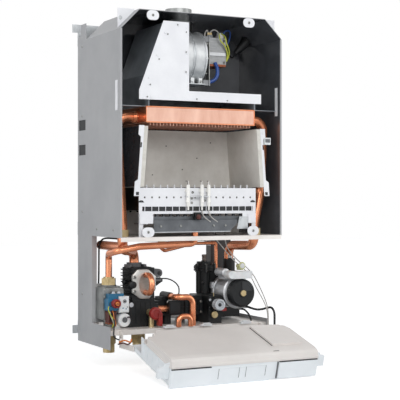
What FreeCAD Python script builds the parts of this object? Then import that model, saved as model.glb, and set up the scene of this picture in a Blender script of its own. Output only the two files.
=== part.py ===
import FreeCAD, Part
import math
import os
import Sketcher

# A wall hung gas boiler with its front casing and chamber cover off and its electronics box swung down.
# Frame of the part: X to the right, Y towards the wall, Z up, millimetres.
# The origin lies on the wall plane, midway between the two hanging holes of the top rail.
# Heights are given from the underside of the casing, and the sheet's hang_rise puts them in the frame.

# Driving sizes, one cell of the sheet each. Those that start with an equals sign follow others: places
# across the width follow the casing's width, and those in the chamber its height over the chamber's floor.
SIZES = {
    # Casing and frame
    "case_width": 400, "case_depth": 255, "case_height": 738, "width_scale": "=case_width / 400",
    "chamber_scale": "=(case_height - floor_rise) / 492", "hang_rise": "=case_height - 38",
    "steel": 1.2, "rail_steel": 2, "fit_gap": 0.3, "corner_cut": 44, "edge_lip": 4,
    "chamber_depth": 199, "floor_rise": 246, "floor_lip": 8,
    "low_channel_depth": 90, "channel_top": "=floor_rise + 458 * chamber_scale", "channel_flange": 30,
    "channel_return": 12,
    "nib_front": 54, "nib_back": 22, "nib_top": "=floor_rise + 485 * chamber_scale",
    "notch_front": 51, "notch_back": 9, "notch_height": 24,
    "high_notch": "=floor_rise + 241 * chamber_scale", "low_notch": "=floor_rise + 184 * chamber_scale",
    "valve_plate_width": 36, "valve_plate_top": 138,
    "panel_rise": 50, "panel_front": 197, "panel_foot": 0,
    "top_rail_low": "=floor_rise + 438 * chamber_scale",
    "top_rail_high": "=floor_rise + 489 * chamber_scale", "ear_reach": 13, "ear_height": 19,
    "hang_span": "=310 * width_scale", "hang_hole_radius": 5,
    "middle_rail_top": 276, "ledge_depth": 50, "bottom_rail_low": 17, "bottom_rail_high": 46,
    "upright_centre": "=163 * width_scale", "upright_width": 55, "upright_depth": 28,
    "clip_width": 11, "clip_low": "=floor_rise + 274 * chamber_scale",
    "clip_high": "=floor_rise + 339 * chamber_scale", "clip_setback": 16, "clip_proud": 1,
    # Cover lugs and casing brackets
    "grommet_wall": 3, "lug_width": 30, "lug_height": 21, "lug_hole": 3, "lug_span": "=238 * width_scale",
    "low_lug_span": "=260 * width_scale", "lug_steel": 1.5,
    "lug_shift": -5, "bracket_setback": 25, "bracket_top": "=floor_rise + 495 * chamber_scale",
    # Flue and hood
    "flue_radius": 30.5, "flue_wall": 1.5, "flue_x": "=-2 * width_scale", "flue_y": -130,
    "flue_top": "=case_height + 27", "flue_low": "=case_height - 26",
    "flue_flange": 42, "hood_back": 85, "hood_front": 246, "hood_top": "=floor_rise + 470 * chamber_scale",
    "hood_low": "=floor_rise + 285 * chamber_scale",
    "hood_roof": "=floor_rise + 320 * chamber_scale", "hood_left": "=130 * width_scale",
    "hood_right": "=135 * width_scale", "hood_shoulder": "=floor_rise + 354 * chamber_scale",
    "hood_peak_left": "=88 * width_scale",
    "hood_peak_right": "=33 * width_scale", "strap_width": 20, "strap_front": 232,
    "plate_top": "=floor_rise + 472 * chamber_scale", "plate_peak_left": "=95 * width_scale",
    "plate_left": "=153 * width_scale", "plate_right": "=150 * width_scale",
    "plate_low": "=floor_rise + 299 * chamber_scale",
    "plate_shoulder": "=floor_rise + 319 * chamber_scale",
    "plate_strip_top": "=floor_rise + 321 * chamber_scale", "screw_radius": 2.6, "screw_head": 1.6,
    "screw_inset": 14, "screw_drop": 26, "screw_step": 50, "fan_screw_drop": 44,
    "seam_screw_left": "=-12 * width_scale", "seam_screw_right": "=62 * width_scale",
    "roof_screw_x": "=-58 * width_scale",
    # Fan
    "fan_y": -165, "fan_rise": "=floor_rise + 404 * chamber_scale", "volute_radius": 58,
    "volute_width": 58, "volute_wall": 2,
    "volute_rim": 3, "fan_inlet": 38, "fan_outlet_low": "=fan_rise + 18", "outlet_gap": 0.3,
    "wheel_radius": 46, "wheel_width": 40, "wheel_disc": 2, "wheel_hub": 11, "wheel_blade": 1.2,
    "wheel_blades": 18,
    "shaft_radius": 4, "shaft_gap": 0.05, "motor_standoff": 16, "motor_length": 46, "motor_depth": 50,
    "motor_low": "=fan_rise - 18", "motor_high": "=fan_rise + 48", "standoff_radius": 3.5,
    "terminal_height": 12, "terminal_width": 14,
    "damper_size": 13, "strut_width": 14, "strut_low": "=fan_rise - 64", "sleeve_radius": 4,
    # Heat exchanger
    "core_x": "=1 * width_scale", "core_width": "=268 * width_scale", "core_front": 241, "core_back": 80,
    "core_low": "=floor_rise + 250 * chamber_scale", "core_top": "=floor_rise + 285 * chamber_scale",
    "core_copper": 1.5, "fin_thickness": 1, "fin_pitch": 8, "fin_low": "=floor_rise + 244 * chamber_scale",
    "tube_radius": 9, "tube_pitch": 30,
    # Main pipes
    "main_pipe": 11, "pipe_wall": 1.5, "pipe_bend": 24, "header_rise": "=floor_rise + 264 * chamber_scale",
    "flow_x": "=-168 * width_scale", "flow_side_x": "=-183 * width_scale", "flow_y": -190,
    "flow_turn": 218, "stub_end": 62, "stub_rise": 224, "stub_radius": 10,
    "return_x": "=156 * width_scale", "return_side_x": "=179 * width_scale",
    "return_knee_x": "=173 * width_scale", "return_knee": "=floor_rise + 104 * chamber_scale",
    "return_y": -205, "return_turn": 222,
    # Combustion chamber and burner
    "fire_x": "=4 * width_scale", "fire_width": "=302 * width_scale", "fire_spread": "=10 * width_scale",
    "fire_front": 245, "fire_back": 90, "fire_low": "=floor_rise + 110 * chamber_scale",
    "fire_top": "=floor_rise + 243 * chamber_scale",
    "liner": 10, "flare_reach": 11, "flare_low": "=floor_rise + 90 * chamber_scale",
    "flare_top": "=floor_rise + 126 * chamber_scale", "bracket_strip": 9, "bracket_lug": 10,
    "bracket_edge": 4, "knee_above": 24,
    "burner_x": "=-6.5 * width_scale", "bar_width": "=290 * width_scale",
    "bar_low": "=floor_rise + 51 * chamber_scale", "bar_high": "=floor_rise + 108 * chamber_scale",
    "bar_front": 242.4,
    "window_low": "=floor_rise + 57 * chamber_scale", "window_high": "=floor_rise + 67 * chamber_scale",
    "window_width": 12, "blade_pitch": 17.5, "blade_width": 9,
    "hole_rise": "=floor_rise + 87 * chamber_scale", "hole_radius": 2.2,
    "blade_low": "=floor_rise + 59 * chamber_scale", "blade_high": "=floor_rise + 109.5 * chamber_scale",
    "blade_back": 112,
    "foot_width": 24, "foot_top": "=floor_rise + 53 * chamber_scale",
    "foot_low": "=floor_rise + 30 * chamber_scale", "leg_width": 10,
    "manifold_low": "=floor_rise + 29 * chamber_scale",
    "manifold_high": "=floor_rise + 45 * chamber_scale", "manifold_y": -226, "manifold_width": 20,
    "jet_radius": 4,
    "electrode_radius": 4, "electrode_y": -249, "electrode_low": "=floor_rise + 67 * chamber_scale",
    "electrode_high": "=floor_rise + 115 * chamber_scale", "pin_radius": 1,
    "electrode_pitch": 17, "electrode_shift": 6,
    # Gas valve
    "gas_x": "=-168 * width_scale", "gas_y": -112, "gas_pipe": 7.5, "gas_bend": 13,
    "gas_riser_x": "=-8 * width_scale", "valve_width": 46,
    "valve_front": 135, "valve_low": 60, "valve_high": 136, "neck_radius": 12, "nut_across": 30,
    "nut_height": 15,
    "blue_left": "=188 * width_scale", "blue_right": "=163 * width_scale", "blue_front": 160,
    "blue_low": 82, "blue_high": 120,
    "dial_x": "=-172 * width_scale", "dial_rise": 98, "dial_radius": 10, "dial_front": 172,
    "white_right": "=139 * width_scale", "white_low": 77, "white_high": 113, "drum_low": 44,
    "drum_high": 75,
    "coil_low": 44, "coil_high": 80,
    # Diverter group
    "block_left": "=125 * width_scale", "block_right": "=70 * width_scale", "block_front": 145,
    "block_back": 90, "block_low": 48, "block_high": 174,
    "block_waist": 98, "block_foot_right": "=60 * width_scale", "inlet_x": "=-107 * width_scale",
    "inlet_y": -115, "inlet_high": 184, "inlet_radius": 15,
    "rib_reach": 7, "rib_thickness": 2.4, "cover_x": "=-98 * width_scale", "cover_rise": 138,
    "cover_width": 58, "cover_height": 66,
    "cover_steel": 3, "bend_drop": 40, "bend_reach": 32, "bend_tube": 6.5,
    "actuator_right": "=42 * width_scale", "actuator_low": 131, "actuator_high": 169, "spindle_radius": 3,
    "spindle_rise": 150,
    "spindle_y": -118, "pocket_radius": 8,
    # Crossover, exchanger plates and copper branches
    "crossover_right": "=60 * width_scale", "crossover_front": 132, "crossover_back": 92,
    "crossover_low": 62, "crossover_high": 104,
    "link_radius": 7, "link_rise": 79, "link_y": -140, "socket_left": "=38 * width_scale",
    "socket_right": "=10 * width_scale", "socket_front": 158,
    "socket_low": 68, "socket_high": 98,
    "plates_left": "=58 * width_scale", "plates_right": "=56 * width_scale", "plates_front": 88,
    "plates_back": 30, "plates_low": 52, "plates_high": 99, "plate_edges": 7,
    "branch_radius": 7, "branch_bend": 17, "branch_y": -168, "branch_rise": 106,
    "branch_left": "=-24 * width_scale",
    "branch_right": "=16 * width_scale",
    "low_branch_radius": 6, "low_branch_y": -185, "low_branch_rise": 64,
    "low_branch_left": "=-28 * width_scale", "low_branch_right": "=2 * width_scale",
    "vessel_pipe": 4, "vessel_pipe_rise": 224, "vessel_pipe_y": -88,
    # Filling tap
    "tap_x": "=-82 * width_scale", "tap_rise": 73, "tap_back": 145, "tap_front": 184, "tap_stem": 6,
    "tap_radius": 14,
    "tap_disc": 12, "lever_width": 9, "lever_drop": 28, "lever_offset": 9,
    # Pump and return group
    "pump_x": "=136 * width_scale", "pump_rise": 111, "pump_front": 189, "cap_radius": 32.5,
    "cap_depth": 21, "motor_radius": 36.5,
    "motor_back": 100, "pump_back": 40, "housing_half": 40, "housing_low": 48, "housing_high": 156,
    "ring_radius": 34, "ring_depth": 6, "rotor_radius": 20, "rotor_gap": 2, "impeller_radius": 30,
    "impeller_depth": 16, "vent_radius": 7, "vent_proud": 3, "vent_bore_depth": 10,
    "box_left": "=97 * width_scale", "box_right": "=160 * width_scale", "box_front": 190, "box_back": 166,
    "box_height": 19,
    "boss_x": "=103 * width_scale", "boss_rise": 158, "boss_radius": 10, "boss_front": 164,
    "boss_back": 128,
    "separator_x": "=90 * width_scale", "separator_y": -81, "separator_radius": 18, "separator_flange": 24,
    "separator_low": 104,
    "flange_low": 160, "flange_high": 172, "separator_top": 180, "separator_cap": 4.5,
    "separator_cap_top": 197,
    "front_block_left": "=61 * width_scale", "front_block_right": "=95 * width_scale",
    "front_block_front": 160, "front_block_high": 106,
    "valve_x": "=78 * width_scale", "valve_rise": 86, "safety_front": 186, "safety_radius": 13,
    "safety_body": 15.5,
    "safety_body_front": 168, "red_tab": 9,
    "plug_x": "=74.5 * width_scale", "plug_rise": 62, "plug_radius": 7, "plug_proud": 5,
    # Expansion vessel
    "vessel_width": "=330 * width_scale", "vessel_height": "=370 * chamber_scale", "vessel_thickness": 44,
    "vessel_corner": 40, "rim_reach": 6,
    "rim_thickness": 4, "vessel_back": 3.5,
    # Connections under the casing
    "tray_rise": 40, "tray_front": 186, "tray_lip": 10, "thread_three_quarter": 13.2, "thread_half": 10.5,
    "thread_length": 20, "thread_foot": -16, "flow_out_x": "=-98 * width_scale", "flow_out_y": -118,
    "hot_x": "=-32 * width_scale", "hot_y": -112,
    "return_out_x": "=112 * width_scale", "return_out_y": -70,
    # Electronics box, measured from its hinge line
    "hinge_y": -253, "hinge_rise": 9, "box_tilt": 15.95, "box_x": "=4 * width_scale",
    "box_width": "=346 * width_scale", "box_reach": 186.6,
    "box_behind": 6.6, "box_under": 6.2, "tub_height": 40, "box_top": 53, "box_wall": 2.5, "lid_wall": 2,
    "lid_start": 32, "lid_end": 168, "lid_middle": 66, "lid_inset": 4, "cover_inset": 44,
    "step_one": 62, "step_two": 49, "step_three": 36, "tub_back": 45, "tub_lean": 10,
    "corner_one": 14, "corner_two": 26, "corner_three": 35, "corner_slope": 2.5, "corner_rise": 3,
    "right_corner": 60, "right_slope": 6, "lid_edge": 5, "lid_round": 3, "lid_shoulder": 8,
    "part_inset": 12, "post_inset": 8, "relay_start": 70, "relay_space": 6,
    "row_start": 120, "row_end": 30, "row_depth": 20,
    "latch_reach": 24, "ear_start": 168, "ear_thickness": 8, "ear_low": 10, "ear_high": 33,
    "rim_radius": 8, "hinge_pin": 3.5, "hinge_arm": 3, "arm_gap": 1,
    "knuckle_radius": 6, "knuckle_length": 14, "cover_left": "=82 * width_scale",
    "cover_right": "=155 * width_scale", "cover_start": 50,
    "cover_end": 150, "cover_proud": 5, "board_inset": 14, "board_rise": 6, "board_thickness": 1.6,
    "transformer": 38, "relay": 16, "knob_radius": 17, "knob_depth": 15, "knob_stem": 4, "knob_pitch": 84,
    "knob_reach": 96, "button_radius": 7, "button_depth": 4, "gauge_radius": 19,
    "gauge_proud": 3, "board_post": 5,
    # Cords
    "return_in_x": "=155 * width_scale", "return_in_y": -84, "return_socket": 186,
    "gas_turn": 203, "gas_side_x": "=-189.5 * width_scale", "gas_side_y": -168, "gas_front_y": -215,
    "gas_mid_x": "=-140 * width_scale",
    "gas_front_rise": 217, "gas_mid_rise": 226, "gas_run_rise": 230.5, "lead_x": "=78 * width_scale",
    "lead_pitch": 24, "lead_y": -185,
    "leg_x": "=-26 * width_scale", "hairpin_x": "=118 * width_scale", "hairpin_turn": -18,
    "hairpin_span": 60, "hairpin_depth": 16, "hairpin_lift": 8, "hairpin_end": 40, "hairpin_bend": 5,
    "low_branch_bend": 11,
    "vessel_feed_y": 40,
    "clamp_low": 28, "clamp_high": 38, "clamp_front": 238, "clamp_back": 214,
    "clamp_right": "=198 * width_scale", "post_x": 7,
    "post_height": 4, "tab_left": "=-54 * width_scale", "tab_middle": "=38 * width_scale",
    "tab_right": "=141 * width_scale",
    "tab_width": 26, "tab_reach": 9, "tab_steel": 2,
    "pump_cord": 2.6, "lead_cord": 1.2, "loom_cord": 2, "thin_cord": 1.5, "short_cord": 2.1,
    "gland_radius": 6, "gland_height": 9,
}

doc = FreeCAD.newDocument("gas_boiler")
sheet = doc.addObject("Spreadsheet::Sheet", "Sizes")


def fill_sheet():
    """Writes each size in a row of its own: its name, its number or formula, and the cell's alias."""
    for row, name in enumerate(SIZES, start=1):
        sheet.set("A%d" % row, name)
        sheet.setAlias("B%d" % row, name)
    for row, number in enumerate(SIZES.values(), start=1):
        sheet.set("B%d" % row, str(number))
    doc.recompute()


class Size:
    """A length that carries its number and the formula by which the document keeps it."""

    def __init__(self, number, formula):
        self.number = float(number)
        self.formula = formula

    def join(self, sign, other, number):
        return Size(number, "(%s %s %s)" % (self.formula, sign, formula_of(other)))

    def __add__(self, other):
        return self.join("+", other, self.number + number_of(other))

    def __radd__(self, other):
        return self + other

    def __sub__(self, other):
        return self.join("-", other, self.number - number_of(other))

    def __rsub__(self, other):
        return Size(number_of(other), formula_of(other)) - self

    def __mul__(self, other):
        return self.join("*", other, self.number * number_of(other))

    def __rmul__(self, other):
        return self * other

    def __truediv__(self, other):
        return self.join("/", other, self.number / number_of(other))

    def __neg__(self):
        return self * -1


def number_of(value):
    return value.number if isinstance(value, Size) else float(value)


def formula_of(value):
    return value.formula if isinstance(value, Size) else "(%r)" % float(value)


class Sheet:
    """Hands out the cells of the sheet as sizes, by their names."""

    def __getattr__(self, name):
        return Size(getattr(sheet, name), "Sizes." + name)


fill_sheet()
s = Sheet()
nodes = []


def up(rise):
    """Height in the frame of the part, from a height above the casing's underside."""
    return rise - s.hang_rise


def bind(thing, place, value):
    thing.setExpression(place, formula_of(value))


def move(thing, x, y, z):
    bind(thing, "Placement.Base.x", x)
    bind(thing, "Placement.Base.y", y)
    bind(thing, "Placement.Base.z", z)
    return thing


def node(label, thing):
    thing.Label = label
    nodes.append(thing)
    return thing


# Solids that the pieces are cut from

def block(name, x, y, rise):
    """A box between two values on each axis, its heights from the casing's underside."""
    thing = doc.addObject("Part::Box", name)
    bind(thing, "Length", x[1] - x[0])
    bind(thing, "Width", y[1] - y[0])
    bind(thing, "Height", rise[1] - rise[0])
    return move(thing, x[0], y[0], up(rise[0]))


TURNS = {
    "x": FreeCAD.Rotation(FreeCAD.Vector(0, 1, 0), 90),
    "y": FreeCAD.Rotation(FreeCAD.Vector(1, 0, 0), -90),
    "z": FreeCAD.Rotation(),
}


def lay(thing, axis, centre, start):
    """Turns a solid that stands on its own Z to an axis of the part and puts its foot in place."""
    thing.Placement = FreeCAD.Placement(FreeCAD.Vector(), TURNS[axis])
    if axis == "x":
        return move(thing, start, centre[0], up(centre[1]))
    if axis == "y":
        return move(thing, centre[0], start, up(centre[1]))
    return move(thing, centre[0], centre[1], up(start))


def rod(name, axis, centre, radius, span):
    thing = doc.addObject("Part::Cylinder", name)
    bind(thing, "Radius", radius)
    bind(thing, "Height", span[1] - span[0])
    return lay(thing, axis, centre, span[0])


def taper(name, axis, centre, radii, span):
    thing = doc.addObject("Part::Cone", name)
    bind(thing, "Radius1", radii[0])
    bind(thing, "Radius2", radii[1])
    bind(thing, "Height", span[1] - span[0])
    return lay(thing, axis, centre, span[0])


def hexagon(name, axis, centre, across, span):
    thing = doc.addObject("Part::Prism", name)
    thing.Polygon = 6
    bind(thing, "Circumradius", across / math.sqrt(3))
    bind(thing, "Height", span[1] - span[0])
    return lay(thing, axis, centre, span[0])


def fuse(name, *pieces):
    thing = doc.addObject("Part::MultiFuse", name)
    thing.Shapes = list(pieces)
    return thing


def cut(name, body, *tools):
    thing = doc.addObject("Part::Cut", name)
    thing.Base = body
    thing.Tool = tools[0] if len(tools) == 1 else fuse(name + "_cuts", *tools)
    return thing


def group(name, *pieces):
    thing = doc.addObject("Part::Compound", name)
    thing.Links = list(pieces)
    return thing


def mirrored(name, piece, centre=0):
    """The same piece on the other side of the plane X = centre."""
    thing = doc.addObject("Part::Mirroring", name)
    thing.Source = piece
    thing.Normal = (1, 0, 0)
    bind(thing, "Base.x", centre)
    return thing


def pair(name, piece, centre=0):
    return group(name, piece, mirrored(name + "_right", piece, centre))


def tube(name, axis, centre, radius, wall, span):
    """A straight pipe, open at both ends."""
    outer = rod(name + "_outside", axis, centre, radius, span)
    inner = rod(name + "_bore", axis, centre, radius - wall, (span[0] - 1, span[1] + 1))
    return cut(name, outer, inner)


# Flat and turned pieces, drawn as sketches

PLANES = {"front": "XZ_Plane", "side": "YZ_Plane", "flat": "XY_Plane"}


def origin_plane(body, role):
    return [feature for feature in body.Origin.OriginFeatures if feature.Role == role][0]


def draw_outline(sketch, points):
    """Draws a closed outline whose corners are held at their distances from the sketch's origin."""
    spots = [FreeCAD.Vector(number_of(u), number_of(v), 0) for u, v in points]
    first = sketch.GeometryCount
    for index, spot in enumerate(spots):
        sketch.addGeometry(Part.LineSegment(spot, spots[(index + 1) % len(spots)]))
    for index, (u, v) in enumerate(points):
        line = first + index
        after = first + (index + 1) % len(points)
        sketch.addConstraint(Sketcher.Constraint("Coincident", line, 2, after, 1))
        across = sketch.addConstraint(Sketcher.Constraint("DistanceX", -1, 1, line, 1, number_of(u)))
        sketch.setExpression("Constraints[%d]" % across, formula_of(u))
        along = sketch.addConstraint(Sketcher.Constraint("DistanceY", -1, 1, line, 1, number_of(v)))
        sketch.setExpression("Constraints[%d]" % along, formula_of(v))


def draw_hole(sketch, u, v, radius):
    spot = FreeCAD.Vector(number_of(u), number_of(v), 0)
    ring = sketch.addGeometry(Part.Circle(spot, FreeCAD.Vector(0, 0, 1), number_of(radius)))
    for kind, value in (("DistanceX", u), ("DistanceY", v)):
        held = sketch.addConstraint(Sketcher.Constraint(kind, -1, 1, ring, 3, number_of(value)))
        sketch.setExpression("Constraints[%d]" % held, formula_of(value))
    held = sketch.addConstraint(Sketcher.Constraint("Radius", ring, number_of(radius)))
    sketch.setExpression("Constraints[%d]" % held, formula_of(radius))


def sketch_in(body, name, plane):
    sketch = body.newObject("Sketcher::SketchObject", name)
    sketch.AttachmentSupport = [(origin_plane(body, PLANES[plane]), "")]
    sketch.MapMode = "FlatFace"
    return sketch


def plate(name, plane, outline, start, thickness, holes=(), windows=()):
    """A flat piece, drawn in millimetres from the middle of the part and from its underside."""
    body = doc.addObject("PartDesign::Body", name)
    sketch = sketch_in(body, name + "_outline", plane)
    draw_outline(sketch, outline)
    for window in windows:
        draw_outline(sketch, window)
    for hole in holes:
        draw_hole(sketch, *hole)
    pad = body.newObject("PartDesign::Pad", name + "_pad")
    pad.Profile = sketch
    pad.Reversed = plane == "front"
    bind(pad, "Length", thickness)
    body.Tip = pad
    if plane == "front":
        return move(body, 0, start, -s.hang_rise)
    if plane == "side":
        return move(body, start, 0, -s.hang_rise)
    return move(body, 0, 0, up(start))


def turned(name, axis, centre, start, profile):
    """A piece turned on a lathe: its profile gives the radius and the distance along the axis."""
    body = doc.addObject("PartDesign::Body", name)
    sketch = sketch_in(body, name + "_profile", "front")
    draw_outline(sketch, profile)
    turn = body.newObject("PartDesign::Revolution", name + "_turn")
    turn.Profile = sketch
    turn.ReferenceAxis = (sketch, ["V_Axis"])
    turn.Angle = 360
    body.Tip = turn
    return lay(body, axis, centre, start)


def rectangle(u, v):
    return [(u[0], v[0]), (u[1], v[0]), (u[1], v[1]), (u[0], v[1])]


# Bent pipes and cords

def spot(x, y, rise):
    return FreeCAD.Vector(number_of(x), number_of(y), number_of(up(rise)))


def bent_path(points, radii):
    """Straight runs joined by tangent arcs, one radius for each corner between them."""
    edges = []
    start = points[0]
    for index in range(1, len(points) - 1):
        back = (points[index - 1] - points[index]).normalize()
        ahead = (points[index + 1] - points[index]).normalize()
        half = (math.pi - back.getAngle(ahead)) / 2
        reach = radii[index - 1] * math.tan(half)
        before = points[index] + back * reach
        after = points[index] + ahead * reach
        middle = points[index] + (back + ahead).normalize() * (radii[index - 1] * (1 / math.cos(half) - 1))
        edges.append(Part.LineSegment(start, before).toShape())
        edges.append(Part.Arc(before, middle, after).toShape())
        start = after
    edges.append(Part.LineSegment(start, points[-1]).toShape())
    return Part.Wire(edges)


def sweep(path, radius):
    start = path.Edges[0].firstVertex().Point
    ahead = path.Edges[0].tangentAt(path.Edges[0].FirstParameter)
    ring = Part.Wire(Part.Circle(start, ahead, radius).toShape())
    return path.makePipeShell([ring], True, True)


def check_tube(name, shape, path, radius):
    exact = math.pi * radius * radius * path.Length
    print("%s: length %.1f mm, volume %.4f of its section times its length" % (name, path.Length,
                                                                               shape.Volume / exact))


def pipe(name, points, radius, bend, wall=0):
    """A bent pipe with one bend radius, bored where a wall is given."""
    corners = [spot(*point) for point in points]
    radii = [number_of(bend)] * (len(points) - 2)
    path = bent_path(corners, radii)
    shape = sweep(path, number_of(radius))
    check_tube(name, shape, path, number_of(radius))
    if number_of(wall):
        shape = shape.cut(sweep(path, number_of(radius) - number_of(wall)))
    thing = doc.addObject("Part::Feature", name)
    thing.Shape = shape
    thing.Placement = FreeCAD.Placement()
    return thing


def cord(name, points, radius):
    """A free cord: each arc is as large as its two runs allow."""
    corners = [spot(*point) for point in points]
    radii = []
    for before, corner, after in zip(corners, corners[1:], corners[2:]):
        shorter = min((corner - before).Length, (after - corner).Length)
        turn = math.pi - (before - corner).getAngle(after - corner)
        radii.append(0.45 * shorter / math.tan(turn / 2))
    path = bent_path(corners, radii)
    shape = sweep(path, number_of(radius))
    check_tube(name, shape, path, number_of(radius))
    wide = [value / number_of(radius) / 2 for value in radii]
    print("    radii in diameters: " + " ".join("%.1f" % value for value in wide))
    thing = doc.addObject("Part::Feature", name)
    thing.Shape = shape
    thing.Placement = FreeCAD.Placement()
    return thing


half_width = s.case_width / 2
inner_half = half_width - s.steel
wall_face = -s.rail_steel
case_front = -s.case_depth
chamber_back = s.chamber_depth - s.case_depth
floor_top = s.floor_rise + s.steel
slope_steel = s.steel * (math.sqrt(2) - 1)


def routed(points):
    """A route's points, moved with the casing's width and, over the chamber's floor, with its height."""
    floor = sheet.floor_rise
    wide, high = sheet.width_scale, sheet.chamber_scale
    return [(x * wide, y, rise if rise < floor else floor + (rise - floor) * high) for x, y, rise in points]


# Routes of the cords: x, y and height above the casing's underside at chosen points

PUMP_CABLE = routed([(157, -165, 78), (157.3, -174, 77), (163.3, -184, 74), (173.5, -189.4, 71),
                     (184.3, -194.2, 72.2),
              (192, -204.6, 76), (195, -215, 78.4), (195, -225.4, 74.8), (195.2, -231.7, 65.8),
                     (195, -232, 52),
              (195, -231.8, 36)])
SHORT_PUMP_CABLE = routed([(146, -165, 73), (146.5, -175, 72), (150, -184, 66), (156, -186, 57),
                           (162, -181.5, 45)])
FIRST_LEAD = routed([(-2, -249, 306), (-1, -248.5, 296), (8, -246, 287), (22, -243.5, 279), (34, -238, 270),
              (44, -225, 265.5), (54, -207, 263.5), (62.5, -192, 260), (66, -185, 252.6), (66, -185, 237),
              (85.4, -180, 220), (105, -173, 200.7), (136, -160, 178), (155, -155, 167), (172, -160, 150),
              (178.5, -175, 122), (182.6, -203, 93), (182.8, -217, 76), (183.4, -221, 57),
                     (184, -221.5, 36)])
SECOND_LEAD = routed([(15, -249, 306), (16, -248.5, 296), (25, -246, 287), (39, -243.5, 279),
                      (52, -238, 270),
               (64, -225, 265.5), (76, -207, 263.5), (86, -192, 260), (90, -185, 252.6), (90, -185, 237),
               (98, -179, 220), (112, -170, 205), (145.7, -152, 182), (166, -148, 170), (183, -155, 151),
               (189, -172, 125), (190, -196, 98), (189, -211, 79), (188.7, -215, 59), (188.7, -215.5, 36)])
LEFT_LOOM = routed([(127.5, -16.8, 228), (95, -20, 229), (40, -34, 229.6), (-15, -46, 230),
                    (-60, -56, 231), (-105, -66, 235),
             (-145, -75, 239.3), (-168.4, -79, 240), (-179.5, -80, 233.6), (-186, -80.5, 222.4),
                    (-186, -80, 202),
             (-186.3, -80.4, 164), (-186, -79.5, 122), (-186.3, -80, 84), (-186, -80, 49)])
DIVERTER_CABLE = routed([(-43, -118, 146), (-29, -118.2, 146.5), (-13, -117, 142), (2, -115, 132),
                         (9.5, -113, 119), (7, -112, 105.5)])
VALVE_CABLE = routed([(-177, -155, 64), (-177, -165, 63.5), (-180, -176, 59), (-185, -186, 51),
                      (-189, -192, 42),
               (-190, -193.5, 32), (-187.2, -194, 26.5), (-182.2, -194, 23), (-176.5, -194, 21.4)])


# Frame against the wall

def make_side_channels():
    outer = (-half_width, -inner_half)
    low = block("channel_low", outer, (-s.low_channel_depth, wall_face), (s.panel_rise, s.floor_rise))
    high = block("channel_high", outer, (chamber_back, wall_face), (s.floor_rise, s.channel_top))
    nib = block("channel_nib", outer, (-s.nib_front, -s.nib_back), (s.channel_top, s.nib_top))
    flange_x = (-inner_half, -half_width + s.channel_flange)
    flange_y = (wall_face - s.steel, wall_face)
    flange = block("channel_flange", flange_x, flange_y, (s.floor_rise, s.channel_top))
    low_flange = block("channel_low_flange", flange_x, flange_y, (s.panel_rise, s.floor_rise))
    lip = block("channel_lip", (-inner_half, -half_width + s.channel_return),
                (-s.low_channel_depth, -s.low_channel_depth + s.steel), (s.panel_rise, s.floor_rise))
    wide = block("valve_plate", (-inner_half, -half_width + s.valve_plate_width),
                 (-s.low_channel_depth, -s.low_channel_depth + s.steel), (s.panel_rise, s.valve_plate_top))
    notches = [block("notch", (-half_width - 1, -inner_half + 1), (-s.notch_front, -s.notch_back),
                     (rise, rise + s.notch_height)) for rise in (s.high_notch, s.low_notch)]
    upper = cut("upper_channel", fuse("upper_channel_sheet", high, nib, flange), *notches)
    left = fuse("left_channel", upper, low, low_flange, lip, wide)
    node("side_channels", group("side_channel_pair", left, mirrored("right_channel", upper)))


def make_lower_side_panels():
    panel = block("lower_panel", (-half_width, -inner_half), (-s.panel_front, wall_face),
                  (s.panel_foot, s.panel_rise))
    node("lower_side_panels", pair("lower_panels", panel))


def make_wall_frame():
    """The rails and the upright that lie on the wall, the top one with its hanging holes and side ears."""
    ear = half_width + s.ear_reach
    ear_low = s.top_rail_high - s.ear_height
    top_outline = [(-half_width, s.top_rail_low), (half_width, s.top_rail_low), (half_width, ear_low),
                   (ear, ear_low),
                   (ear, s.top_rail_high), (-ear, s.top_rail_high), (-ear, ear_low), (-half_width, ear_low)]
    holes = [(side * s.hang_span / 2, s.hang_rise, s.hang_hole_radius) for side in (-1, 1)]
    top = plate("top_rail", "front", top_outline, wall_face, s.rail_steel, holes)
    foot_ear = s.bottom_rail_low + s.ear_height
    foot_outline = [(-ear, s.bottom_rail_low), (ear, s.bottom_rail_low), (ear, foot_ear),
                    (half_width, foot_ear),
                    (half_width, s.bottom_rail_high), (-half_width, s.bottom_rail_high),
                    (-half_width, foot_ear),
                    (-ear, foot_ear)]
    foot = plate("bottom_rail", "front", foot_outline, wall_face, s.rail_steel)
    middle = block("middle_rail", (-half_width, half_width), (wall_face, 0),
                   (s.floor_rise, s.middle_rail_top))
    ledge = block("vessel_ledge", (-s.vessel_width / 2, s.vessel_width / 2), (-s.ledge_depth, wall_face),
                  (s.middle_rail_top - s.rail_steel, s.middle_rail_top))
    left = s.upright_centre - s.upright_width / 2
    right = s.upright_centre + s.upright_width / 2
    span = (s.bottom_rail_low, s.floor_rise)
    hollow = block("upright_hollow", (left + s.steel, right - s.steel),
                   (-s.upright_depth + s.steel, wall_face + 1),
                   (s.bottom_rail_low - 1, s.floor_rise + 1))
    outside = block("upright_outside", (left, right), (-s.upright_depth, wall_face - s.steel), span)
    gland = rod("loom_gland", "x", (-s.upright_depth * 0.6, s.floor_rise - 3 * s.gland_radius),
                s.gland_radius, (left - s.gland_height, left))
    upright = fuse("upright_and_gland", cut("upright", outside, hollow), gland)
    node("wall_frame", group("wall_rails", top, foot, fuse("middle_rail_and_ledge", middle, ledge),
                             upright))


# Sealed chamber

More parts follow.
